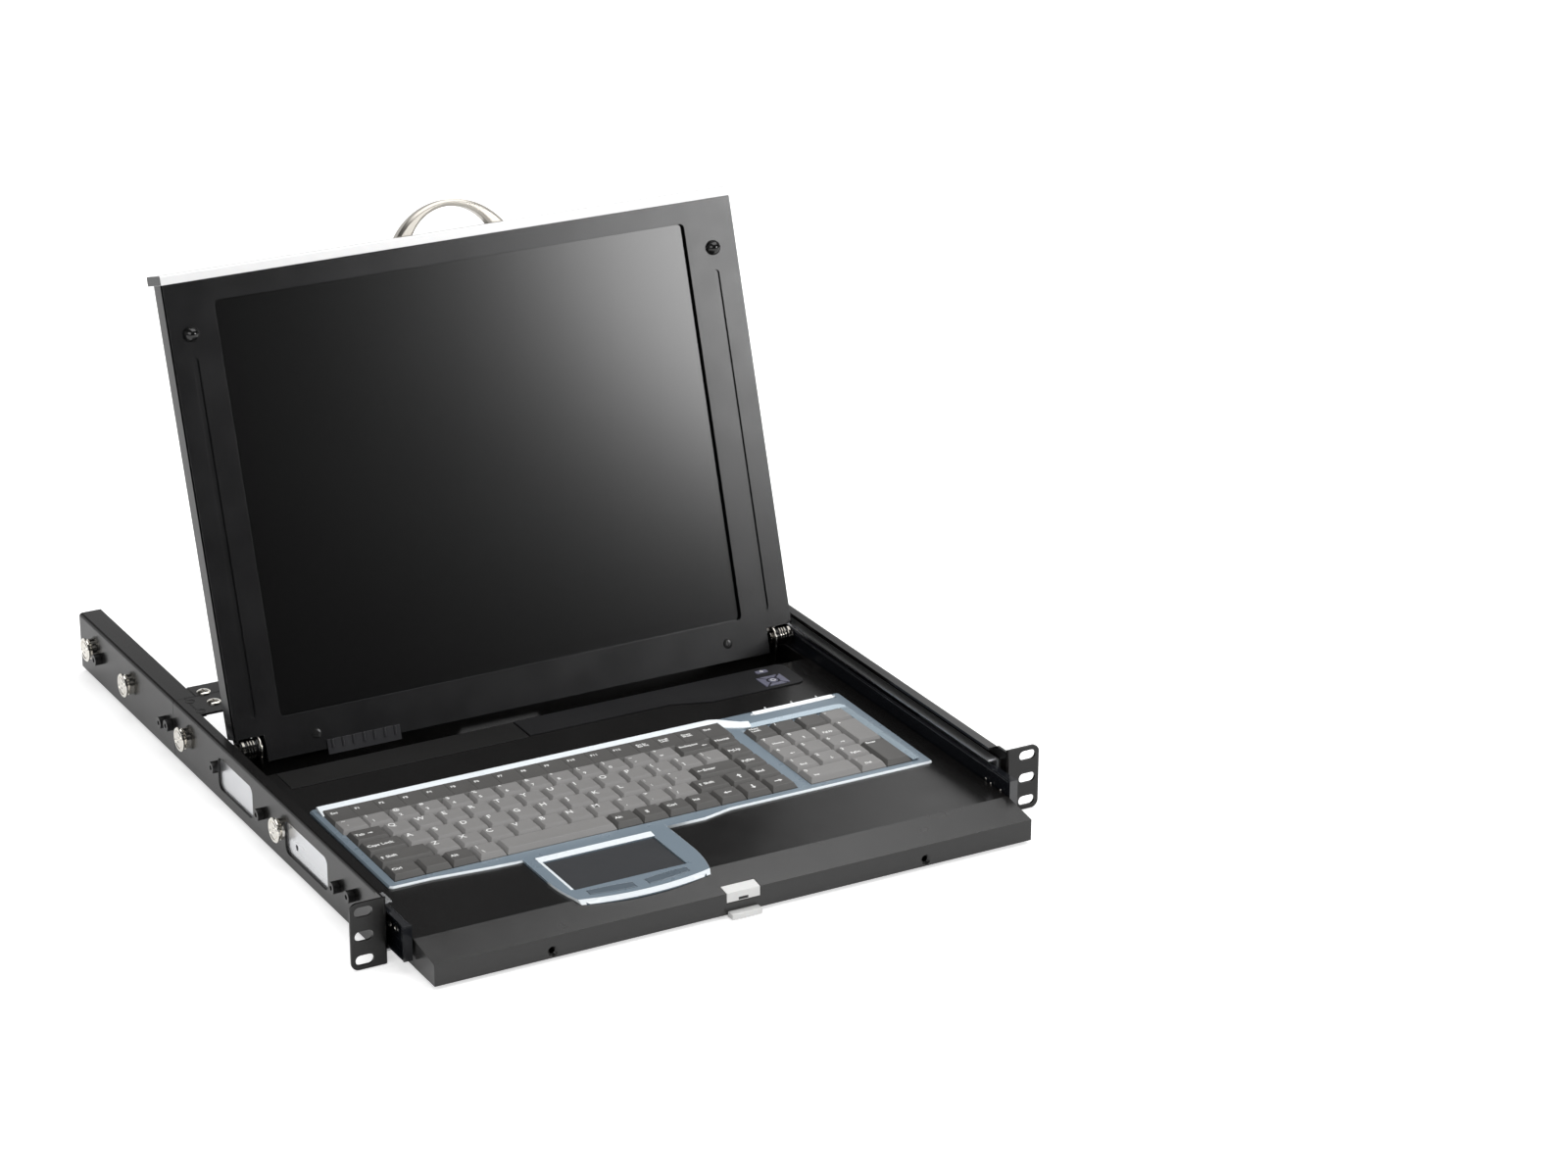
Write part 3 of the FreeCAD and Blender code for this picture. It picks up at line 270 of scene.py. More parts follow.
def makeFinish(name, look):
    finish = bpy.data.materials.new(name)
    finish.use_nodes = True
    tree = finish.node_tree
    shader = tree.nodes["Principled BSDF"]
    shader.inputs["Metallic"].default_value = look.get("metal", 0.0)
    shader.inputs["Specular IOR Level"].default_value = look.get("specular", 0.5)
    shader.inputs["Coat Weight"].default_value = look.get("coat", 0.0)
    shader.inputs["Coat Roughness"].default_value = 0.1
    patch = noiseField(tree, look, look.get("patchScale", 14), 4.0)
    blend = rangeNode(tree, patch, "Fac", noiseSpan["tone"], 0, 1)
    tone = colourMix(tree, blend, look["colour"], look["shade"])
    speck = noiseField(tree, look, look.get("speckScale", 900), 2.0)
    fleck = rangeNode(tree, speck, "Fac", noiseSpan["fleck"], 0, look.get("fleck", 0.25))
    tone = colourMix(tree, fleck, tone, look.get("fleckColour", look["shade"]))
    smears = noiseField(tree, look, look.get("smearScale", 40), 5.0)
    gloss = rangeNode(tree, smears, "Fac", noiseSpan["tone"], *look["rough"])
    link(tree, gloss, "Result", shader, "Roughness")
    bump = tree.nodes.new("ShaderNodeBump")
    bump.inputs["Strength"].default_value = look.get("bump", 0.15)
    bump.inputs["Distance"].default_value = look.get("bumpDepth", 0.02) * mm
    grain = noiseField(tree, look, look.get("grainScale", 2500), 3.0)
    link(tree, grain, "Fac", bump, "Height")
    tree.links.new(tone.outputs[2], shader.inputs["Base Color"])
    link(tree, bump, "Normal", shader, "Normal")
    return finish


finishLooks = {
    # painted, coated and plated metal, and the black film of the label
    "black_steel": dict(
        colour=(0.0040, 0.0037, 0.0036), shade=(0.0054, 0.0050, 0.0048), rough=(0.20, 0.26),
        specular=0.45, grainScale=1400, bump=0.06, fleck=0.1),
    "textured_black": dict(
        colour=(0.0034, 0.0034, 0.0038), shade=(0.0048, 0.0048, 0.0053), rough=(0.21, 0.25),
        specular=0.52, grainScale=1000, bump=0.35, bumpDepth=0.03, fleck=0.35,
        fleckColour=(0.015, 0.015, 0.017), speckScale=1000),
    "bar_paint": dict(
        colour=(0.0058, 0.0056, 0.0054), shade=(0.0080, 0.0077, 0.0075), rough=(0.22, 0.28), specular=0.6,
        grainScale=1500, bump=0.5, bumpDepth=0.03, fleck=0.4, fleckColour=(0.028, 0.027, 0.026),
        speckScale=700),
    "black_slide": dict(
        colour=(0.006, 0.007, 0.009), shade=(0.009, 0.010, 0.013), rough=(0.12, 0.2), specular=0.75,
        coat=0.6, bump=0.04),
    "dark_nickel": dict(
        colour=(0.36, 0.34, 0.31), shade=(0.24, 0.23, 0.21), rough=(0.12, 0.2), metal=1.0, bump=0.03,
        fleck=0.05),
    "label_film": dict(
        colour=(0.0085, 0.0083, 0.0080), shade=(0.0115, 0.0112, 0.0110), rough=(0.32, 0.4), specular=0.4,
        grainScale=2600, bump=0.15),
    "zinc_steel": dict(
        colour=(0.86, 0.87, 0.89), shade=(0.78, 0.79, 0.81), rough=(0.22, 0.34), metal=0.9,
        stretch=(1, 0.06, 1), fleck=0.1),
    "nickel": dict(
        colour=(0.86, 0.83, 0.77), shade=(0.80, 0.77, 0.71), rough=(0.14, 0.2), metal=1.0, bump=0.02,
        fleck=0.04),
    "satin_nickel": dict(
        colour=(0.56, 0.53, 0.48), shade=(0.48, 0.455, 0.41), rough=(0.26, 0.34), metal=1.0, bump=0.03,
        fleck=0.08),
    "black_fastener": dict(
        colour=(0.009, 0.009, 0.009), shade=(0.014, 0.0135, 0.0135), rough=(0.2, 0.3), bump=0.05,
        fleck=0.1),
    # pale, silver and blue-grey surfaces; the two trims paint highlights on the board's bevels and edges
    "white_plastic": dict(
        colour=(0.70, 0.70, 0.69), shade=(0.68, 0.68, 0.67), rough=(0.28, 0.33), bump=0.03, fleck=0.05),
    "silver_face": dict(
        colour=(0.90, 0.90, 0.90), shade=(0.86, 0.86, 0.86), rough=(0.34, 0.44), metal=0.15,
        stretch=(0.05, 1, 1), bump=0.04, fleck=0.1),
    "blue_grey_plastic": dict(
        colour=(0.225, 0.285, 0.340), shade=(0.208, 0.265, 0.318), rough=(0.26, 0.32), metal=0.2,
        coat=0.3, fleck=0.15, fleckColour=(0.215, 0.27, 0.32), speckScale=4000, bump=0.02, patchScale=5),
    "pale_trim": dict(
        colour=(0.36, 0.44, 0.50), shade=(0.33, 0.41, 0.47), rough=(0.24, 0.3), metal=0.2, coat=0.3,
        fleck=0.1, bump=0.02),
    "pearl_trim": dict(
        colour=(0.86, 0.91, 0.94), shade=(0.83, 0.885, 0.92), rough=(0.24, 0.3), coat=0.4, fleck=0.1,
        bump=0.02),
    "pad_button": dict(
        colour=(0.125, 0.162, 0.196), shade=(0.115, 0.150, 0.182), rough=(0.26, 0.32), metal=0.2,
        coat=0.3, fleck=0.1, bump=0.02),
    # keys
    "light_key": dict(
        colour=(0.245, 0.240, 0.236), shade=(0.228, 0.223, 0.219), rough=(0.42, 0.52), specular=0.42,
        grainScale=3000, bump=0.2, bumpDepth=0.02, fleck=0.1),
    "dark_key": dict(
        colour=(0.100, 0.098, 0.094), shade=(0.089, 0.086, 0.083), rough=(0.42, 0.52), specular=0.42,
        grainScale=3000, bump=0.2, bumpDepth=0.02, fleck=0.1),
    # dark plastics, clear plastic, rubber, glass and the ink of the legends
    "inner_plastic": dict(
        colour=(0.006, 0.006, 0.006), shade=(0.01, 0.01, 0.01), rough=(0.5, 0.6)),
    "touch_surface": dict(
        colour=(0.034, 0.036, 0.040), shade=(0.040, 0.042, 0.046), rough=(0.4, 0.48), specular=0.3,
        grainScale=2600, bump=0.3, bumpDepth=0.02),
    "clear_lens": dict(
        colour=(0.90, 0.93, 0.95), shade=(0.87, 0.90, 0.92), rough=(0.08, 0.15), coat=0.6, bump=0.02),
    "panel_black": dict(
        colour=(0.009, 0.009, 0.010), shade=(0.013, 0.013, 0.014), rough=(0.36, 0.44), specular=0.35,
        grainScale=2200, bump=0.2),
    "soft_button": dict(
        colour=(0.135, 0.135, 0.185), shade=(0.115, 0.115, 0.16), rough=(0.4, 0.5), bump=0.15),
    "screen_glass": dict(
        colour=(0.0012, 0.0012, 0.0013), shade=(0.0016, 0.0016, 0.0017), rough=(0.170, 0.176),
        specular=0.65, grainScale=5000, bump=0.01, bumpDepth=0.003, smearScale=6),
    "bumper_rubber": dict(
        colour=(0.006, 0.006, 0.006), shade=(0.010, 0.010, 0.010), rough=(0.08, 0.14), specular=0.6,
        bump=0.02, fleck=0.0),
    "smoke_plastic": dict(
        colour=(0.026, 0.026, 0.028), shade=(0.036, 0.036, 0.039), rough=(0.16, 0.24), coat=0.4),
    "legend_ink": dict(
        colour=(0.84, 0.84, 0.83), shade=(0.79, 0.79, 0.78), rough=(0.5, 0.6), bump=0.02, fleck=0.0),
}
finishes = {name: makeFinish(name, look) for name, look in finishLooks.items()}

nodeSlots = {part["node"]: part["material_slot"] for part in frame["record"]["subparts"]}
for node, obj in frame["nodes"].items():
    if not obj.material_slots:
        obj.data.materials.append(None)
    for holder in obj.material_slots:
        holder.material = finishes[nodeSlots[node]]
print("finishes made:", len(finishes))


# keycaps: one is modelled, and every key is a stretched copy of it
keycap = {"pitch": 18.5, "row": 18.4, "gap": 0.7, "side": 1.7, "front": 2.7, "rear": 1.5, "foot": -2.4,
          "skirt": 1.0, "top": 4.0, "edge": 0.32, "rim": 0.7, "hollow": 1.6, "dish": 0.15, "stem": 4.0,
          "stemRoom": 0.2}
spaceLow, spaceHigh = boxMm("space_bar")
functionLow, functionHigh = boxMm("function_row_keys")
numpadLow, numpadHigh = boxMm("numpad_top_keys")
rowFront = spaceLow.y - keycap["gap"] / 2      # front of the first row of cells
wellLeft = functionLow.x - keycap["gap"] / 2
numpadLeft = numpadLow.x - keycap["gap"] / 2
numpadPitch = (numpadHigh.x + keycap["gap"] / 2 - numpadLeft) / 4


def masterKeycap():
    width, depth = keycap["pitch"] - keycap["gap"], keycap["row"] - keycap["gap"]
    topWide = width - 2 * keycap["side"]
    topDeep = depth - keycap["front"] - keycap["rear"]
    skirt, top = keycap["skirt"] * mm, keycap["top"] * mm
    cap = blockPiece("keycap", (-width / 2, -depth / 2, keycap["foot"]),
                     (width / 2, depth / 2, keycap["skirt"]))

    def topOrSlope(edge):
        first, second = (point.co.z for point in edge.verts)
        return max(first, second) > skirt + tiny or abs(first - second) > tiny

    bpy.ops.object.mode_set(mode="EDIT")
    bpy.ops.mesh.select_mode(type="FACE")
    pick(cap, "faces", lambda face: face.normal.z > 0.9)
    bpy.ops.mesh.extrude_region_move(TRANSFORM_OT_translate={"value": (0, 0, top - skirt)})
    bpy.ops.transform.resize(value=(topWide / width, topDeep / depth, 1))
    bpy.ops.transform.translate(value=(0, (keycap["front"] - keycap["rear"]) / 2 * mm, 0))
    bpy.ops.mesh.select_mode(type="EDGE")
    pick(cap, "edges", topOrSlope)
    bpy.ops.mesh.bevel(offset=keycap["edge"] * mm, segments=3, affect="EDGES", profile=0.6)
    bpy.ops.mesh.select_mode(type="FACE")
    pick(cap, "faces", lambda face: face.normal.z > 0.99 and face.calc_center_median().z > top - 10 * tiny)
    bpy.ops.mesh.inset(thickness=keycap["rim"] * mm)
    bpy.ops.mesh.inset(thickness=keycap["hollow"] * mm)
    bpy.ops.transform.translate(value=(0, 0, -keycap["dish"] * mm))
    pick(cap, "faces", lambda face: face.normal.z < -0.9)
    bpy.ops.mesh.inset(thickness=(depth - keycap["stem"]) / 2 * mm)
    stemLength = (spaceLow.z - keycap["foot"]) * mm
    bpy.ops.mesh.extrude_region_move(TRANSFORM_OT_translate={"value": (0, 0, stemLength)})
    bpy.ops.object.mode_set(mode="OBJECT")
    smoothed("keycap")
    return cap


def stretchedKey(master, x, y, width, depth):
    cap = copyOf(master, "cap")
    wider = (width - keycap["pitch"]) / 2 * mm
    deeper = (depth - keycap["row"]) / 2 * mm
    reach = (keycap["stem"] / 2 + keycap["stemRoom"]) * mm      # the stem keeps its size
    for point in cap.data.vertices:
        if abs(point.co.x) > reach or abs(point.co.y) > reach:
            if abs(point.co.x) > tiny:
                point.co.x += math.copysign(wider, point.co.x)
            if abs(point.co.y) > tiny:
                point.co.y += math.copysign(deeper, point.co.y)
    cap.data.transform(Matrix.Translation(((x + width / 2) * mm, (y + depth / 2) * mm, 0)))
    return cap


def unitKeys(group, legends):
    return [(group, 1, legend) for legend in legends]


# rows from the front: group, width in units and legend; a comma parts two signs on one key
keyRows = [
    [("bottom_left_keys", 1.14, "Ctrl")] + unitKeys("bottom_left_keys", ("", "Alt", "|,\\"))
    + [("space_bar", 4.14, "")]
    + unitKeys("bottom_right_keys", ("Alt", "menu", "Ctrl", "Ins", "left", "down"))
    + [("navigation_keys", 1, "right")],
    [("lower_row_keys", 2, "Shift")] + unitKeys("lower_row_keys", "ZXCVBNM")
    + unitKeys("lower_row_keys", ("<,,", ">,.", "?,/"))
    + [("lower_row_keys", 1.28, "Shift"), ("lower_row_keys", 1, "up"), ("navigation_keys", 1, "End")],
    [("home_row_keys", 1.5, "Caps Lock")] + unitKeys("home_row_keys", "ASDFGHJKL")
    + unitKeys("home_row_keys", (":,;", "\",'"))
    + [("enter_key", 1.78, "Enter"), ("navigation_keys", 1, "PgDn")],
    [("upper_row_keys", 1.28, "Tab")] + unitKeys("upper_row_keys", "QWERTYUIOP")
    + unitKeys("upper_row_keys", ("{,[", "},]", "|,\\")) + [("navigation_keys", 1, "PgUp")],
    [("number_row_keys", 0.9, "~,`")]
    + unitKeys("number_row_keys", ("!,1", "@,2", "#,3", "$,4", "%,5", "^,6", "&,7", "*,8", "(,9", "),0"))
    + unitKeys("number_row_keys", ("_,-", "+,="))
    + [("number_row_keys", 1.38, "Backspace"), ("navigation_keys", 1, "Home")],
]
functionLegends = ["Esc"] + ["F%d" % n for n in range(1, 13)]
functionLegends += ["Prt Sc,Sys Rq", "Scroll,Lock", "Pause,Break", "Del"]

# number pad: full rows first, then each key with its column, row, columns and rows covered
numpadRows = [("numpad_top_keys", 4, ("Num,Lock", "/", "*", "-")),
              ("numpad_digit_keys", 3, ("7,Home", "8,up", "9,PgUp")),
              ("numpad_digit_keys", 2, ("4,left", "5", "6,right")),
              ("numpad_digit_keys", 1, ("1,End", "2,down", "3,PgDn"))]
numpadKeys = [(group, column, row, 1, 1, legend)
              for group, row, legends in numpadRows for column, legend in enumerate(legends)]
numpadKeys += [("numpad_bottom_keys", 0, 0, 2, 1, "0,Ins"), ("numpad_bottom_keys", 2, 0, 1, 1, ".,Del"),
               ("numpad_enter_key", 3, 0, 1, 2, "Enter"), ("numpad_plus_key", 3, 2, 1, 2, "+")]


def allKeys():
    found = []
    rows = [rowFront + k * keycap["row"] for k in range(6)]
    for y, row in zip(rows, keyRows):
        x = wellLeft
        for group, units, legend in row:
            width = units * keycap["pitch"]
            found.append((group, x, y, width, keycap["row"], legend))
            x += width
    depth = functionHigh.y + keycap["gap"] / 2 - rows[5]
    width = (functionHigh.x + keycap["gap"] / 2 - wellLeft) / len(functionLegends)
    for k, legend in enumerate(functionLegends):
        found.append(("function_row_keys", wellLeft + k * width, rows[5], width, depth, legend))
    for group, column, row, columns, deep, legend in numpadKeys:
        x = numpadLeft + column * numpadPitch
        found.append((group, x, rows[row], columns * numpadPitch, deep * keycap["row"], legend))
    return found


darkGroups = {"function_row_keys", "enter_key", "bottom_left_keys", "bottom_right_keys", "navigation_keys",
              "numpad_enter_key"}
darkLegends = {"Shift", "Caps Lock", "Tab", "Backspace", "up", "Num,Lock", "/", "*"}
lightLegend = "|,\\"      # light, though one of these keys stands in a dark group

cells = allKeys()
master = masterKeycap()
groupCaps = {}
for group, x, y, width, depth, legend in cells:
    dark = (group in darkGroups or legend in darkLegends) and legend != lightLegend
    tone = "dark" if dark else "light"
    groupCaps.setdefault((group, tone), []).append(stretchedKey(master, x, y, width, depth))
for (group, tone), caps in groupCaps.items():
    piece = joined(caps, group + "_" + tone + "_caps")
    fitted(piece, group, tone + "_key")
    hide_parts(group)
bpy.data.objects.remove(master)
print("keycaps made:", len(cells))


# key legends: generic letters, numbers, words and arrows, sunk into the tops
legendLook = {"sink": 0.35, "proud": 0.03, "bold": 0.09, "indent": 0.7, "letterWidth": 0.56,
              "menuStep": 1.3, "functionStep": 2.5, "lockStep": 3.3}
# kinds of sign: size, then how far right and back it stands from the place it is given
signs = {"letter": (6.2, 0.3, -3.2), "upper": (4.4, 0.6, -2.2), "lower": (4.4, 1.8, 3.4),
         "word": (4.1, 0, 0), "pushedWord": (4.1, 4.4, 0), "raisedWord": (3.3, 0, 2),
         "function": (3.6, -0.5, -1.4), "functionPair": (2.9, -0.5, -1.4), "lock": (3.3, 0, -2.2),
         "padSign": (4.4, 0, -2.4), "padWord": (3.3, 0, -2.4), "padLower": (3.3, 2.6, 2.6),
         "menuLine": (7, 2.8, 0), "arrowKey": (5.6, 0, 0), "padArrow": (3.4, 0.6, 2.8),
         "firstArrow": (3.6, 1.9, 0), "lastArrow": (3.6, 3.4, 0), "lowArrow": (3.6, 0, -2)}
# words with an arrow: its way, the word's kind and the arrow's kind
arrowWords = {"Shift": ("up", "pushedWord", "firstArrow"), "Enter": ("left", "pushedWord", "firstArrow"),
              "Tab": ("right", "word", "lastArrow"), "Backspace": ("left", "raisedWord", "lowArrow")}
arrowShape = [(-0.5, -0.09), (0.1, -0.09), (0.1, -0.3), (0.5, 0.0), (0.1, 0.3), (0.1, 0.09), (-0.5, 0.09)]
arrowTurn = {"right": 0, "up": 90, "left": 180, "down": 270}


def textMesh(words, size):
    curve = bpy.data.curves.new("legend", "FONT")
    curve.body = words
    curve.size = size * mm
    curve.resolution_u = 3
    curve.extrude = legendLook["sink"] / 2 * mm
    curve.offset = legendLook["bold"] * mm
    curve.align_x = "LEFT"
    curve.align_y = "CENTER"
    obj = bpy.data.objects.new("legend", curve)
    bpy.context.scene.collection.objects.link(obj)
    return obj


def arrowMesh(way, size):
    mesh = bpy.data.meshes.new("arrow")
    turn = Matrix.Rotation(math.radians(arrowTurn[way]), 3, "Z")
    half = legendLook["sink"] / 2
    ring = [turn @ Vector((x * size, y * size, 0)) for x, y in arrowShape]
    points = [(p.x * mm, p.y * mm, z * mm) for z in (-half, half) for p in ring]
    count = len(ring)
    faces = [tuple(range(count))[::-1], tuple(range(count, 2 * count))]
    faces += [(k, (k + 1) % count, count + (k + 1) % count, count + k) for k in range(count)]
    mesh.from_pydata(points, [], faces)
    obj = bpy.data.objects.new("legend", mesh)
    bpy.context.scene.collection.objects.link(obj)
    return obj


def sign(words, kind, x, y):      # an arrow's word is its way
    size, right, back = signs[kind]
    made = arrowMesh(words, size) if words in arrowTurn else textMesh(words, size)
    return made, x + right, y + back


def signColumn(words, kind, x, y, step):
    return [sign(word, kind, x, y - step * k) for k, word in enumerate(words)]


def numpadSigns(legend, left, rear, front, centre):
    first, second = (legend.split(",") + [""])[:2]
    found = [sign(first, "padSign" if len(first) < 3 else "padWord", left, rear)]
    if second in arrowTurn:
        found.append(sign(second, "padArrow", centre, front))
    elif second:
        found.append(sign(second, "padLower", left, front))
    return found


def wordAndArrow(legend, left, middle):
    way, wordKind, arrowKind = arrowWords[legend]
    length = len(legend) * signs[wordKind][0] * legendLook["letterWidth"]
    reach = 0 if arrowKind == "firstArrow" else length
    return [sign(legend, wordKind, left, middle), sign(way, arrowKind, left + reach, middle)]


def keySigns(group, x, y, width, depth, legend):
    slope = min(depth / keycap["row"], 1)
    left = x + keycap["gap"] / 2 + keycap["side"] + legendLook["indent"]
    rear = y + depth - keycap["gap"] / 2 - keycap["rear"] * slope
    front = y + keycap["gap"] / 2 + keycap["front"] * slope
    centre, middle = x + width / 2, (rear + front) / 2
    if legend == "menu":
        return [sign("-", "menuLine", left, middle + legendLook["menuStep"] * k) for k in (-1, 0, 1)]
    if legend in arrowTurn:
        return [sign(legend, "arrowKey", centre, middle)]
    if group == "function_row_keys":
        kind = "functionPair" if "," in legend else "function"
        return signColumn(legend.split(","), kind, left, rear, legendLook["functionStep"])
    if legend == "Num,Lock":
        return signColumn(legend.split(","), "lock", left, rear, legendLook["lockStep"])
    if group.startswith("numpad"):
        return numpadSigns(legend, left, rear, front, centre)
    if len(legend) == 3 and legend[1] == ",":
        return [sign(legend[0], "upper", left, rear), sign(legend[2], "lower", left, front)]
    if len(legend) == 1:
        return [sign(legend, "letter", left, rear)]
    if legend in arrowWords:
        return wordAndArrow(legend, left, middle)
    return [sign(legend, "word", left, middle)] if legend else []


legendHeight = (keycap["top"] + legendLook["proud"] - legendLook["sink"] / 2) * mm
groupSigns = {}
for group, x, y, width, depth, legend in cells:
    groupSigns.setdefault(group, []).extend(keySigns(group, x, y, width, depth, legend))
textPieces = [obj for found in groupSigns.values() for obj, x, y in found if obj.type == "FONT"]
makeActive(*textPieces)
bpy.ops.object.convert(target="MESH")
for group, found in groupSigns.items():
    for obj, x, y in found:
        obj.data.transform(Matrix.Translation((x * mm, y * mm, legendHeight)))
    if found:
        piece = joined([obj for obj, x, y in found], group + "_legends")
        fitted(piece, group, "white_plastic", "legend_ink")
print("legends made:", len(textPieces))


# softened versions of sheet-metal and moulded nodes, with the width of their edges;
# a star stands for left and right
softWidths = {"pull_handle": 0.9, "lid_bumpers": 0.4, "latch_release": 0.35, "latch_cap": 0.25,
              "cable_guard": 0.3, "side_bracket_*": 0.5, "rear_arm_*": 0.5, "front_bridge": 0.3,
              "rear_bridge": 0.3, "side_screws": 0.3, "tray_deck": 0.3, "front_bar": 0.5, "tray_pan": 0.3,
              "outer_slide_*": 0.15, "inner_slide_*": 0.2, "keyboard_bezel": 0.45, "touchpad": 0.2,
              "control_panel": 0.3, "indicator_lens": 0.15, "hinge_leaf_*": 0.3, "hinge_bracket_*": 0.3,
              "hinge_pin_*": 0.3, "lid_shell": 0.5, "lid_bezel": 0.4, "touchpad_button_*": 0.5,
              "menu_*_button": 0.25, "menu_up_button": 0.25, "menu_down_button": 0.25,
              "menu_select_button": 0.25, "screen_power_button": 0.25}
softEdges = {name.replace("*", side): width
             for name, width in softWidths.items() for side in ("left", "right")}
thirdSegment = 0.5      # edges this wide or wider get a third segment
otherFinish = {"touchpad_button_left": "pad_button", "touchpad_button_right": "pad_button",
               "front_bar": "bar_paint", "pull_handle": "satin_nickel"}
nodeBody = {node: body for body, nodes in frame["record"]["behaviour"]["bodies"].items() for node in nodes}
noseRoom = {"sides": (-96.1, -13.7), "front": -23.8, "near": 0.05, "tuck": 1.56}


def tuckCorners(piece):      # the room under the nose stays behind its bevel at both corners
    def atCorner(point):
        x, y = point.co.x / mm, point.co.y / mm
        across = min(abs(x - side) for side in noseRoom["sides"])
        return across < noseRoom["near"] and abs(y - noseRoom["front"]) < noseRoom["near"]

    bpy.ops.mesh.select_mode(type="VERT")
    pick(piece, "verts", atCorner)
    bpy.ops.transform.translate(value=(0, noseRoom["tuck"] * mm, 0))


for node, width in softEdges.items():
    reshape = tuckCorners if node == "keyboard_bezel" else None
    piece = softCopy(node, node + "_finished", width, 2 if width < thirdSegment else 3, reshape)
    fitted(piece, nodeBody[node], nodeSlots[node], otherFinish.get(node))
    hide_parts(node)
print("nodes softened:", len(softEdges))


# painted highlight: a pale skin on the bevels of the board that face forward, and on both sides of its nose, where
# the light catches them
boardLow, boardHigh = boxMm("keyboard_bezel")
padLow, padHigh = boxMm("touchpad")
highlightSkinLook = {"lift": 0.04, "thick": 0.14, "lean": 0.3, "lowest": -2.4, "rearmost": 60.0,
             "noseRear": padHigh.y - 0.6}


def highlightedFace(face):
    middle = face.calc_center_median() / mm
    if middle.y > highlightSkinLook["rearmost"] or min(v.co.z for v in face.verts) / mm < highlightSkinLook["lowest"]:
        return False
    sideways = abs(face.normal.x) > highlightSkinLook["lean"] and face.normal.y < highlightSkinLook["lean"]
    return face.normal.y < -highlightSkinLook["lean"] or (sideways and middle.y < highlightSkinLook["noseRear"])


skin = copyOf(bpy.data.objects["keyboard_bezel_finished"], "bezel_bright_bevels")
makeActive(skin)
bpy.ops.object.mode_set(mode="EDIT")
bpy.ops.mesh.select_mode(type="FACE")
pick(skin, "faces", lambda face: not highlightedFace(face))
bpy.ops.mesh.delete(type="FACE")
bpy.ops.object.mode_set(mode="OBJECT")
shell = skin.modifiers.new("skin", "SOLIDIFY")
shell.thickness = highlightSkinLook["thick"] * mm
shell.offset = -1 + 2 * highlightSkinLook["lift"] / highlightSkinLook["thick"]
bpy.ops.object.modifier_apply(modifier=shell.name)
fitted(skin, "drawer", "white_plastic", "pearl_trim")
print("bright bevels:", len(skin.data.polygons))


# strips: the front or left edge is lower by drop, and moves carry the right end on
stripLook = {"edge": 0.12, "sink": 0.3, "near": 0.01}      # a strip stands in the surface by its sink


def slopedStrip(name, low, high, drop, lowSide="front", moves=(), shoulder=0):
    strip = blockPiece(name, low, high)
    top = high[2] * mm - tiny
    axis = 1 if lowSide == "front" else 0
    lowLine = (low[axis] + stripLook["near"]) * mm

    def onLowEdge(edge):
        return all(v.co.z > top and v.co[axis] < lowLine for v in edge.verts)

    def onRearShoulder(edge):
        return all(v.co.z > top for v in edge.verts) and any(face.normal.y > 0.4 for face in edge.link_faces)

    bpy.ops.object.mode_set(mode="EDIT")
    bpy.ops.mesh.select_mode(type="EDGE")
    pick(strip, "edges", onLowEdge)
    bpy.ops.transform.translate(value=(0, 0, -drop * mm))
    bpy.ops.mesh.select_mode(type="FACE")
    pick(strip, "faces", lambda face: face.normal.x > 0.9)
    end = Vector((high[0] * mm, (low[1] + high[1]) / 2 * mm, (low[2] + high[2]) / 2 * mm))
    for move, squeeze in moves:
        step = Vector(move) * mm
        bpy.ops.mesh.extrude_region_move(TRANSFORM_OT_translate={"value": step})
        end += step
        bpy.ops.transform.resize(value=(1, squeeze, 1), center_override=end)
    if shoulder:
        bpy.ops.mesh.select_mode(type="EDGE")
        pick(strip, "edges", onRearShoulder)
        bpy.ops.mesh.bevel(offset=shoulder * mm, segments=2, affect="EDGES")
    bpy.ops.mesh.select_all(action="SELECT")
    bpy.ops.mesh.normals_make_consistent(inside=False)
    bpy.ops.object.mode_set(mode="OBJECT")
    return roundEdges(strip, stripLook["edge"])


# a strip whose sides are given as offsets from two corners and a surface
def trimStrip(name, look, lowCorner, highCorner, surface, lowSide="front"):
    low = (lowCorner[0] + look["left"], lowCorner[1] + look["front"], surface - stripLook["sink"])
    high = (highCorner[0] + look["right"], highCorner[1] + look["rear"], surface + look["rise"])
    moves, shoulder = look.get("moves", ()), look.get("shoulder", 0)
    return slopedStrip(name, low, high, look["drop"], lowSide, moves, shoulder)


# a pale band along the rear of the board, bent at its right end: a painted highlight on its slope
rearHighlight = {"inset": 4.0, "turn": 91.0, "front": 160.6, "rear": 171.3, "rise": 3.2, "drop": 2.7,
            "moves": [((6, -1.7, 0), 0.92), ((6, -4.6, 0), 0.8), ((6, -4.0, 0), 0.76), ((5, -1.3, 0), 0.85)],
            "shoulder": 1.2}
highlightBand = slopedStrip("rear_pearl_band",
                   (boardLow.x + rearHighlight["inset"], rearHighlight["front"], boardHigh.z - stripLook["sink"]),
                   (rearHighlight["turn"], rearHighlight["rear"], boardHigh.z + rearHighlight["rise"]), rearHighlight["drop"],
                   moves=rearHighlight["moves"], shoulder=rearHighlight["shoulder"])
fitted(highlightBand, "drawer", "white_plastic", "pearl_trim")
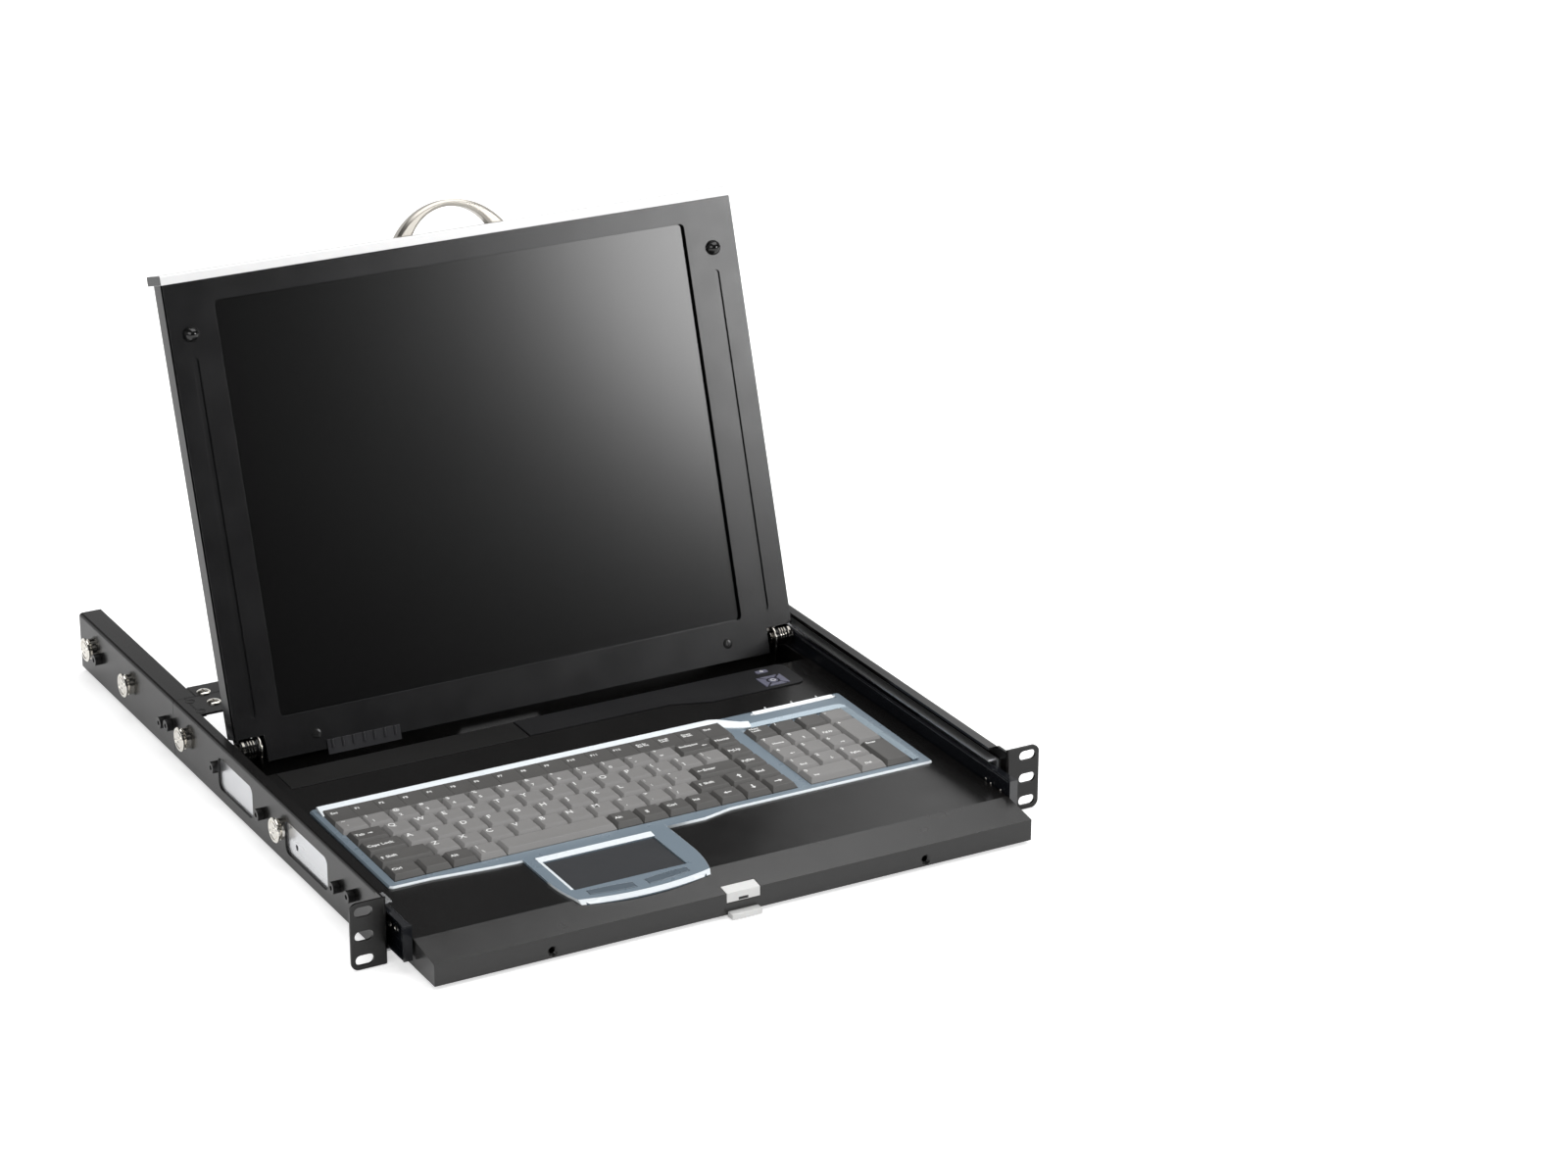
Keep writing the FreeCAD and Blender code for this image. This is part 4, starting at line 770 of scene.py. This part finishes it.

# pale strips on the rear and left edges of the touchpad's recess: painted highlights
padHighlight = {"rear": {"left": -2.2, "right": 1.2, "front": 0.5, "rear": 6.2, "rise": 0.8, "drop": 0.75},
           "side": {"left": -2.0, "right": -0.5, "front": 1.0, "rear": 0.6, "rise": 0.35, "drop": 0.2},
           "surface": 0.9}
surface = padHigh.z + padHighlight["surface"]
padHighlightStrips = [
    trimStrip("strip", padHighlight["rear"], (padLow.x, padHigh.y), (padHigh.x, padHigh.y), surface),
    trimStrip("strip", padHighlight["side"], (padLow.x, padLow.y), (padLow.x, padHigh.y), surface, "left")]
fitted(joined(padHighlightStrips, "touchpad_pearl_strips"), "drawer", "white_plastic", "pearl_trim")

# paler blue-grey strips behind the number pad and beside its enter key: painted highlights
numpadHighlight = {"rear": {"left": 7.5, "right": -1.0, "front": 3.4, "rear": 8.2, "rise": 1.6, "drop": 1.7,
                       "moves": [((3.4, -0.9, 0), 1.0), ((2.2, -2.6, 0), 0.9)], "shoulder": 1.0},
              "side": {"left": 0.6, "right": 5.6, "front": -0.3, "rear": 3.6, "rise": 0.5, "drop": 0.45}}
enterLow, enterHigh = boxMm("numpad_enter_key")
numpadHighlightStrips = [
    trimStrip("strip", numpadHighlight["rear"], (numpadLow.x, numpadHigh.y), numpadHigh, boardHigh.z),
    trimStrip("strip", numpadHighlight["side"], (enterHigh.x, enterLow.y), (enterHigh.x, numpadHigh.y),
              boardHigh.z, "left")]
fitted(joined(numpadHighlightStrips, "numpad_pale_strips"), "drawer", "blue_grey_plastic", "pale_trim")
print("trim strips made")


# the screen is a glass sheet that stands a little nearer its frame
glass = {"forward": 1.9, "edge": 0.3}
sheet = softCopy("screen_panel", "screen_panel_glass", glass["edge"])
forward = (lidFrame.to_3x3() @ Vector((0, -1, 0))).normalized() * glass["forward"] * mm
sheet.data.transform(Matrix.Translation(forward))
fitted(sheet, "lid", "screen_glass")
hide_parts("screen_panel")


# ringed studs on the outside of the walls, where the node has its own
studGap = 5.0      # vertices further apart than this belong to two studs
studRing = [(0, 0), (7.05, 0), (7.05, 1.6), (4.5, 1.6), (4.5, 3.4), (8.0, 3.4), (8.25, 3.65), (8.25, 4.6),
            (7.85, 5.0), (6.35, 5.0), (6.15, 4.55), (5.45, 4.55), (5.25, 5.0), (2.3, 5.0), (2.2, 4.8),
            (1.7, 4.8), (1.6, 5.0), (0, 5.0)]


def studCentres():
    runs = []
    for y in sorted(point.co.y / mm for point in frame["nodes"]["mounting_studs"].data.vertices):
        if not runs or y - runs[-1][-1] > studGap:
            runs.append([])
        runs[-1].append(y)
    return [(run[0] + run[-1]) / 2 for run in runs]


studLow, studHigh = boxMm("mounting_studs")
studZ = (studLow.z + studHigh.z) / 2
wallX = boxMm("rear_arm_right")[1].x
spots = [facing((side, 0, 0), (side * wallX, y, studZ)) for side in (-1, 1) for y in studCentres()]
studs = placedCopies(turnedPiece("stud", studRing, 48), "mounting_studs_turned", spots)
fitted(studs, "frame", "nickel")
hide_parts("mounting_studs")


# cross-head screws, and matte black discs on the bridges, painted shade where the bridges have holes
screwShares = [(0, 0), (1, 0), (1, 0.45), (0.82, 0.85), (0.492, 1), (0, 1)]      # of radius and height
crossLook = {"arm": 0.55, "slot": 0.11, "floor": 0.35, "above": 1}      # shares, then the cutter's overlap


def crossScrew(look):
    radius, height = look["radius"], look["height"]
    head = turnedPiece("screw", [(x * radius, z * height) for x, z in screwShares], 28)
    arm, slot = radius * crossLook["arm"], radius * crossLook["slot"]
    for turn in (0, 90):
        cutter = blockPiece("cross", (-arm, -slot, height * crossLook["floor"]),
                            (arm, slot, height + crossLook["above"]))
        carved(head, movedBy(cutter, Matrix.Rotation(math.radians(turn), 4, "Z")))
    return head


def onBridges(places):
    return [facing((0, 0, 1), (side * x, y, bridgeTop)) for side in (-1, 1) for x, y in places]


bridgeTop = boxMm("front_bridge")[1].z
bridgeScrews = {"radius": 4.6, "height": 1.3, "places": ((195.5, 340.2), (195.6, 321.9))}
screws = placedCopies(crossScrew(bridgeScrews), "bridge_screws", onBridges(bridgeScrews["places"]))
fitted(screws, "frame", "nickel")

# the discs paint the shade inside the bridges' holes
holeShadeRing = [(0, 0), (3.3, 0), (3.1, 0.2), (2.5, 0.2), (2.3, 0.05), (0, 0.05)]
holeShadePlaces = ((208.9, 330.3), (208.8, 312.4))
holeShades = placedCopies(turnedPiece("plug", holeShadeRing, 28), "bridge_plugs", onBridges(holeShadePlaces))
fitted(holeShades, "frame", "black_fastener", "inner_plastic")

bezelScrews = {"radius": 3.4, "height": 0.7, "places": ((-148.5, -15.4), (156.6, -14.6))}
spots = [lidFrame @ facing((0, -1, 0), (x, 0.0, up)) for x, up in bezelScrews["places"]]
fitted(placedCopies(crossScrew(bezelScrews), "bezel_screws", spots), "lid", "black_fastener")

barScrews = {"radius": 2.9, "height": 0.9, "spacing": 130.0, "inset": 1.5, "above": 10.0}
barLow = boxMm("front_bar")[0]
barPlace = (barLow.y + barScrews["inset"], barLow.z + barScrews["above"])
spots = [facing((0, -1, 0), (side * barScrews["spacing"], *barPlace)) for side in (-1, 1)]
fitted(placedCopies(crossScrew(barScrews), "bar_screws", spots), "drawer", "nickel", "dark_nickel")
print("screws made")


# label strip, left bare
labelStrip = {"left": -187.0, "right": -18.2, "front": 214.0, "rear": 240.2, "thick": 0.4, "edge": 0.15}
deckTop = boxMm("tray_deck")[1].z
plate = blockPiece("label_strip", (labelStrip["left"], labelStrip["front"], deckTop),
                   (labelStrip["right"], labelStrip["rear"], deckTop + labelStrip["thick"]))
fitted(roundEdges(plate, labelStrip["edge"]), "drawer", "panel_black", "label_film")


# hinges: friction discs, a collar, the pin's nut, and a spring clip with its leg on the tray
hingeStack = {"first": 2.6, "pitch": 1.9, "count": 3, "collar": 3.0, "nut": 0.1}
clipRing = {"inset": 1.2, "radius": 7.3, "wire": 0.7}
clipLeg = {"half": 0.7, "front": 6.9, "rear": 5.5, "foot": 9.0, "top": 4.3, "edge": 0.3}
discRing = [(5.9, 0), (6.75, 0), (6.95, 0.2), (6.95, 0.8), (6.75, 1.0), (5.9, 1.0), (5.9, 0)]
collarRing = [(5.9, 0), (6.5, 0), (6.9, 0.4), (6.9, 2.0), (6.5, 2.4), (5.9, 2.4), (5.9, 0)]
nutRing = [(2.55, 0), (4.6, 0), (4.6, 1.5), (4.2, 1.9), (2.55, 1.9), (2.55, 0)]
hingeY, hingeZ = hingePoint.y / mm, hingePoint.z / mm


def springClip(x):
    clearSelection()
    bpy.ops.mesh.primitive_torus_add(
        major_segments=48, minor_segments=10, major_radius=clipRing["radius"] * mm,
        minor_radius=clipRing["wire"] * mm, location=(x * mm, hingePoint.y, hingePoint.z),
        rotation=(0, math.radians(90), 0))
    bpy.ops.object.transform_apply(location=True, rotation=True, scale=True)
    bpy.ops.object.shade_smooth()
    return bpy.context.active_object


def springLeg(x):
    leg = blockPiece("leg", (x - clipLeg["half"], hingeY - clipLeg["front"], hingeZ - clipLeg["foot"]),
                     (x + clipLeg["half"], hingeY - clipLeg["rear"], hingeZ - clipLeg["top"]))
    return roundEdges(leg, clipLeg["edge"])


discs, collars, nuts, clips, legs = [], [], [], [], []
for side, name in ((-1, "left"), (1, "right")):
    leafLow, leafHigh = boxMm("hinge_leaf_" + name)
    inner, outer = (leafHigh.x, leafLow.x) if side < 0 else (leafLow.x, leafHigh.x)      # ends of the barrel
    firstDisc = inner + side * hingeStack["first"]
    for k in range(hingeStack["count"]):
        discs.append(facing((side, 0, 0), (firstDisc + side * k * hingeStack["pitch"], hingeY, hingeZ)))
    collars.append(facing((side, 0, 0), (outer - side * hingeStack["collar"], hingeY, hingeZ)))
    nuts.append(facing((side, 0, 0), (outer + side * hingeStack["nut"], hingeY, hingeZ)))
    clips.append(springClip(inner - side * clipRing["inset"]))
    legs.append(springLeg(inner - side * clipRing["inset"]))
fitted(placedCopies(turnedPiece("disc", discRing, 44), "hinge_friction_discs", discs), "lid", "dark_nickel")
fitted(placedCopies(turnedPiece("collar", collarRing, 44), "hinge_collars", collars), "lid", "dark_nickel")
fitted(placedCopies(turnedPiece("nut", nutRing, 6), "hinge_pin_nuts", nuts), "drawer", "dark_nickel")
fitted(joined(clips, "hinge_spring_clips"), "lid", "nickel")
fitted(joined(legs, "hinge_spring_legs"), "drawer", "nickel")


# slide rivets on the web, and their tails on the side by the tray
slideRivets = {"webFromTray": 2.25, "web": ((13.4, -3.2), (3.5, -2.1)),
               "tails": ((10.3, 0.2), (4.3, -0.9), (-7.6, -0.9))}
rivetRing = [(0, 0), (2.3, 0), (2.3, 0.25), (1.9, 0.45), (1.3, 0.45), (1.15, 0.2), (0, 0.2)]
tailRing = [(0, 0), (1.1, 0), (0.95, 0.3), (0.5, 0.45), (0, 0.45)]
rivetSpots, tailSpots = [], []
for side, name in ((-1, "left"), (1, "right")):
    low, high = boxMm("inner_slide_" + name)
    traySide = high.x if side < 0 else low.x
    web = traySide + side * slideRivets["webFromTray"]      # outer face of the web
    rivetSpots += [facing((side, 0, 0), (web, y, z)) for y, z in slideRivets["web"]]
    tailSpots += [facing((-side, 0, 0), (traySide, y, z)) for y, z in slideRivets["tails"]]
fitted(placedCopies(turnedPiece("rivet", rivetRing, 28), "slide_rivets", rivetSpots), "drawer", "nickel")
fitted(placedCopies(turnedPiece("tail", tailRing, 20), "slide_rivet_tails", tailSpots), "drawer", "nickel")
print("hinges and slides dressed")


# control panel: a ring on the select button, and a power sign
panelSigns = {"sink": 0.02, "ringHeight": 0.12, "select": (1.35, 1.75), "power": (0.95, 1.25),
              "stemHalf": 0.15, "stem": (0.2, 1.6), "stemProud": 0.1}


def signRing(name, node, radii, steps):
    low, high = boxMm(node)
    foot = Vector(((low.x + high.x) / 2, (low.y + high.y) / 2, high.z - panelSigns["sink"]))
    inner, outer = radii
    top = panelSigns["ringHeight"]
    ring = turnedPiece(name, [(inner, 0), (outer, 0), (outer, top), (inner, top), (inner, 0)], steps)
    return movedBy(ring, Matrix.Translation(foot * mm)), foot


ring, foot = signRing("menu_select_ring", "menu_select_button", panelSigns["select"], 32)
fitted(ring, "menu_select_button", "white_plastic", "legend_ink")
ring, foot = signRing("screen_power_ring", "screen_power_button", panelSigns["power"], 28)
stemTop = foot.z + panelSigns["sink"] + panelSigns["stemProud"]
stem = blockPiece("power_stem", (foot.x - panelSigns["stemHalf"], foot.y + panelSigns["stem"][0], foot.z),
                  (foot.x + panelSigns["stemHalf"], foot.y + panelSigns["stem"][1], stemTop))
fitted(joined([stem, ring], "screen_power_mark"), "screen_power_button", "white_plastic", "legend_ink")


# indicator strip: a sloped cap on the lens, and three ticks at its rear
lensCap = {"left": 2.0, "right": -2.0, "front": 0.1, "rear": -0.1, "rise": 0.9, "drop": 1.0, "shoulder": 0.5}
lensLow, lensHigh = boxMm("indicator_lens")
capTop = lensHigh.z + lensCap["rise"]
fitted(trimStrip("indicator_lens_cap", lensCap, lensLow, lensHigh, lensHigh.z), "drawer", "clear_lens")

ticks = {"places": (136.0, 156.0, 175.0), "y": 173.2, "halfWidth": 0.35, "halfDepth": 1.1, "sink": 1.2,
         "proud": 0.12, "edge": 0.1}
pieces = []
for x in ticks["places"]:
    low = (x - ticks["halfWidth"], ticks["y"] - ticks["halfDepth"], capTop - ticks["sink"])
    high = (x + ticks["halfWidth"], ticks["y"] + ticks["halfDepth"], capTop + ticks["proud"])
    tick = blockPiece("tick", low, high)
    pieces.append(roundEdges(tick, ticks["edge"]))
fitted(joined(pieces, "indicator_ticks"), "drawer", "white_plastic", "legend_ink")


# thumb notch of the latch: a black patch on the cap's face paints the notch's shade
notch = {"halfWidth": 3.5, "low": 2.9, "high": 5.0, "proud": 0.06, "sink": 0.5, "edge": 0.5}
capLow, capHigh = boxMm("latch_cap")
middle = (capLow.x + capHigh.x) / 2
shadePatch = blockPiece("latch_notch",
                  (middle - notch["halfWidth"], capLow.y - notch["proud"], capLow.z + notch["low"]),
                  (middle + notch["halfWidth"], capLow.y + notch["sink"], capLow.z + notch["high"]))
fitted(roundEdges(shadePatch, notch["edge"], 3), "drawer", "inner_plastic")


# front panel of the lid, with dark ends
panelLook = {"edge": 0.4, "endNormal": 0.8}
panel = softCopy("lid_face", "lid_face_finished", panelLook["edge"])
fitted(panel, "lid", "silver_face")
panel.data.materials.append(finishes["textured_black"])
for polygon in panel.data.polygons:
    if abs(polygon.normal.x) > panelLook["endNormal"]:
        polygon.material_index = 1
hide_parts("lid_face")
print("details made")


# camera
cameraLook = {"place": (-1.13087, -2.11065, 1.15053), "yaw": 29.290, "pitch": 22.119, "roll": 0.134,
              "lens": 98.35, "sensor": 36, "near": 0.05, "far": 60}
view = bpy.data.cameras.new("camera")
view.lens = cameraLook["lens"]
view.sensor_width = cameraLook["sensor"]
view.clip_start = cameraLook["near"]
view.clip_end = cameraLook["far"]
camera = bpy.data.objects.new("camera", view)
bpy.context.scene.collection.objects.link(camera)
camera.location = cameraLook["place"]
yaw = Matrix.Rotation(math.radians(-cameraLook["yaw"]), 3, "Z")
pitch = Matrix.Rotation(math.radians(90 - cameraLook["pitch"]), 3, "X")
roll = Matrix.Rotation(math.radians(cameraLook["roll"]), 3, "Z")
camera.rotation_euler = (yaw @ pitch @ roll).to_euler()
bpy.context.scene.camera = camera

# soft lamps: power, size, place, aim and shape
lamps = {
    "overhead": (58, (2.8, 2.8), (0.7, 0.3, 2.5), (0.1, 0.1, 0), "RECTANGLE"),
    "frontRight": (25, (1.0, 1.0), (1.79, -2.01, 1.0), (0.085, 0.33, 0.22), "ELLIPSE"),
    "frontLeft": (24, (2.4, 1.6), (-2.3, -1.3, 1.6), (0.0, 0.1, 0.0), "RECTANGLE"),
    "backRight": (5, (1.5, 1.5), (1.99, 1.79, 1.36), (0.1, 0.1, 0), "RECTANGLE"),
}
for name, (power, size, place, target, shape) in lamps.items():
    lamp = bpy.data.lights.new(name, "AREA")
    lamp.energy = power
    lamp.shape = shape
    lamp.size, lamp.size_y = size
    obj = bpy.data.objects.new(name, lamp)
    bpy.context.scene.collection.objects.link(obj)
    obj.location = place
    obj.rotation_euler = (Vector(target) - Vector(place)).to_track_quat("-Z", "Y").to_euler()

# world: white to the camera, an even fill, and for gloss a pale backdrop low down behind the object
worldLook = {"fill": 0.42, "reflected": 0.015, "white": 1.0, "behind": (-0.1, 0.5), "height": (0.32, 0.48)}
world = bpy.data.worlds.new("studio")
bpy.context.scene.world = world
world.use_nodes = True
sky = world.node_tree
sky.nodes.clear()
rays = sky.nodes.new("ShaderNodeLightPath")
where = sky.nodes.new("ShaderNodeTexCoord")
split = sky.nodes.new("ShaderNodeSeparateXYZ")
link(sky, where, "Generated", split, 0)


def skyMath(operation, first, second):
    node = sky.nodes.new("ShaderNodeMath")
    node.operation = operation
    sky.links.new(first, node.inputs[0])
    sky.links.new(second, node.inputs[1])
    return node.outputs[0]


def skyMix(factor, first, second):
    mix = sky.nodes.new("ShaderNodeMix")
    mix.data_type = "FLOAT"
    sky.links.new(factor, mix.inputs[0])
    for entry, level in ((2, first), (3, second)):      # the node's two number entries
        if isinstance(level, float):
            mix.inputs[entry].default_value = level
        else:
            sky.links.new(level, mix.inputs[entry])
    return mix.outputs[0]


behind = rangeNode(sky, split, "Y", worldLook["behind"], 0, 1)
lowDown = rangeNode(sky, split, "Z", worldLook["height"], 1, 0)
backdrop = skyMath("MULTIPLY", behind.outputs[0], lowDown.outputs[0])
glossLevel = skyMix(backdrop, worldLook["reflected"], worldLook["white"])
litLevel = skyMix(rays.outputs["Is Glossy Ray"], worldLook["fill"], glossLevel)
seen = skyMath("MAXIMUM", rays.outputs["Is Camera Ray"], rays.outputs["Is Transmission Ray"])
background = sky.nodes.new("ShaderNodeBackground")
sky.links.new(skyMix(seen, litLevel, worldLook["white"]), background.inputs["Strength"])
worldOut = sky.nodes.new("ShaderNodeOutputWorld")
link(sky, background, 0, worldOut, "Surface")

# floor: pale paper that takes shadows, and glows to the camera and less so to gloss
floorLook = {"size": 30, "below": 0.5, "colour": (0.82, 0.82, 0.82, 1), "glow": 0.56, "glossShare": 0.45}
clearSelection()
floorHeight = cadBox[0].z - floorLook["below"] * mm
bpy.ops.mesh.primitive_plane_add(size=floorLook["size"], location=(0, 0, floorHeight))
floor = bpy.context.active_object
floor.name = "floor"
paper = bpy.data.materials.new("paper")
paper.use_nodes = True
tree = paper.node_tree
tree.nodes.clear()
matte = tree.nodes.new("ShaderNodeBsdfDiffuse")
matte.inputs["Color"].default_value = floorLook["colour"]
floorRays = tree.nodes.new("ShaderNodeLightPath")
shown = tree.nodes.new("ShaderNodeMath")
shown.operation = "MULTIPLY_ADD"
shown.inputs[1].default_value = floorLook["glossShare"]
link(tree, floorRays, "Is Glossy Ray", shown, 0)
link(tree, floorRays, "Is Camera Ray", shown, 2)
dimmed = tree.nodes.new("ShaderNodeMath")
dimmed.operation = "MULTIPLY"
dimmed.inputs[1].default_value = floorLook["glow"]
link(tree, shown, 0, dimmed, 0)
glow = tree.nodes.new("ShaderNodeEmission")
link(tree, dimmed, 0, glow, "Strength")
both = tree.nodes.new("ShaderNodeAddShader")
link(tree, matte, 0, both, 0)
link(tree, glow, 0, both, 1)
surface = tree.nodes.new("ShaderNodeOutputMaterial")
link(tree, both, 0, surface, "Surface")
floor.data.materials.append(paper)

scene = bpy.context.scene
scene.view_settings.view_transform = "Standard"
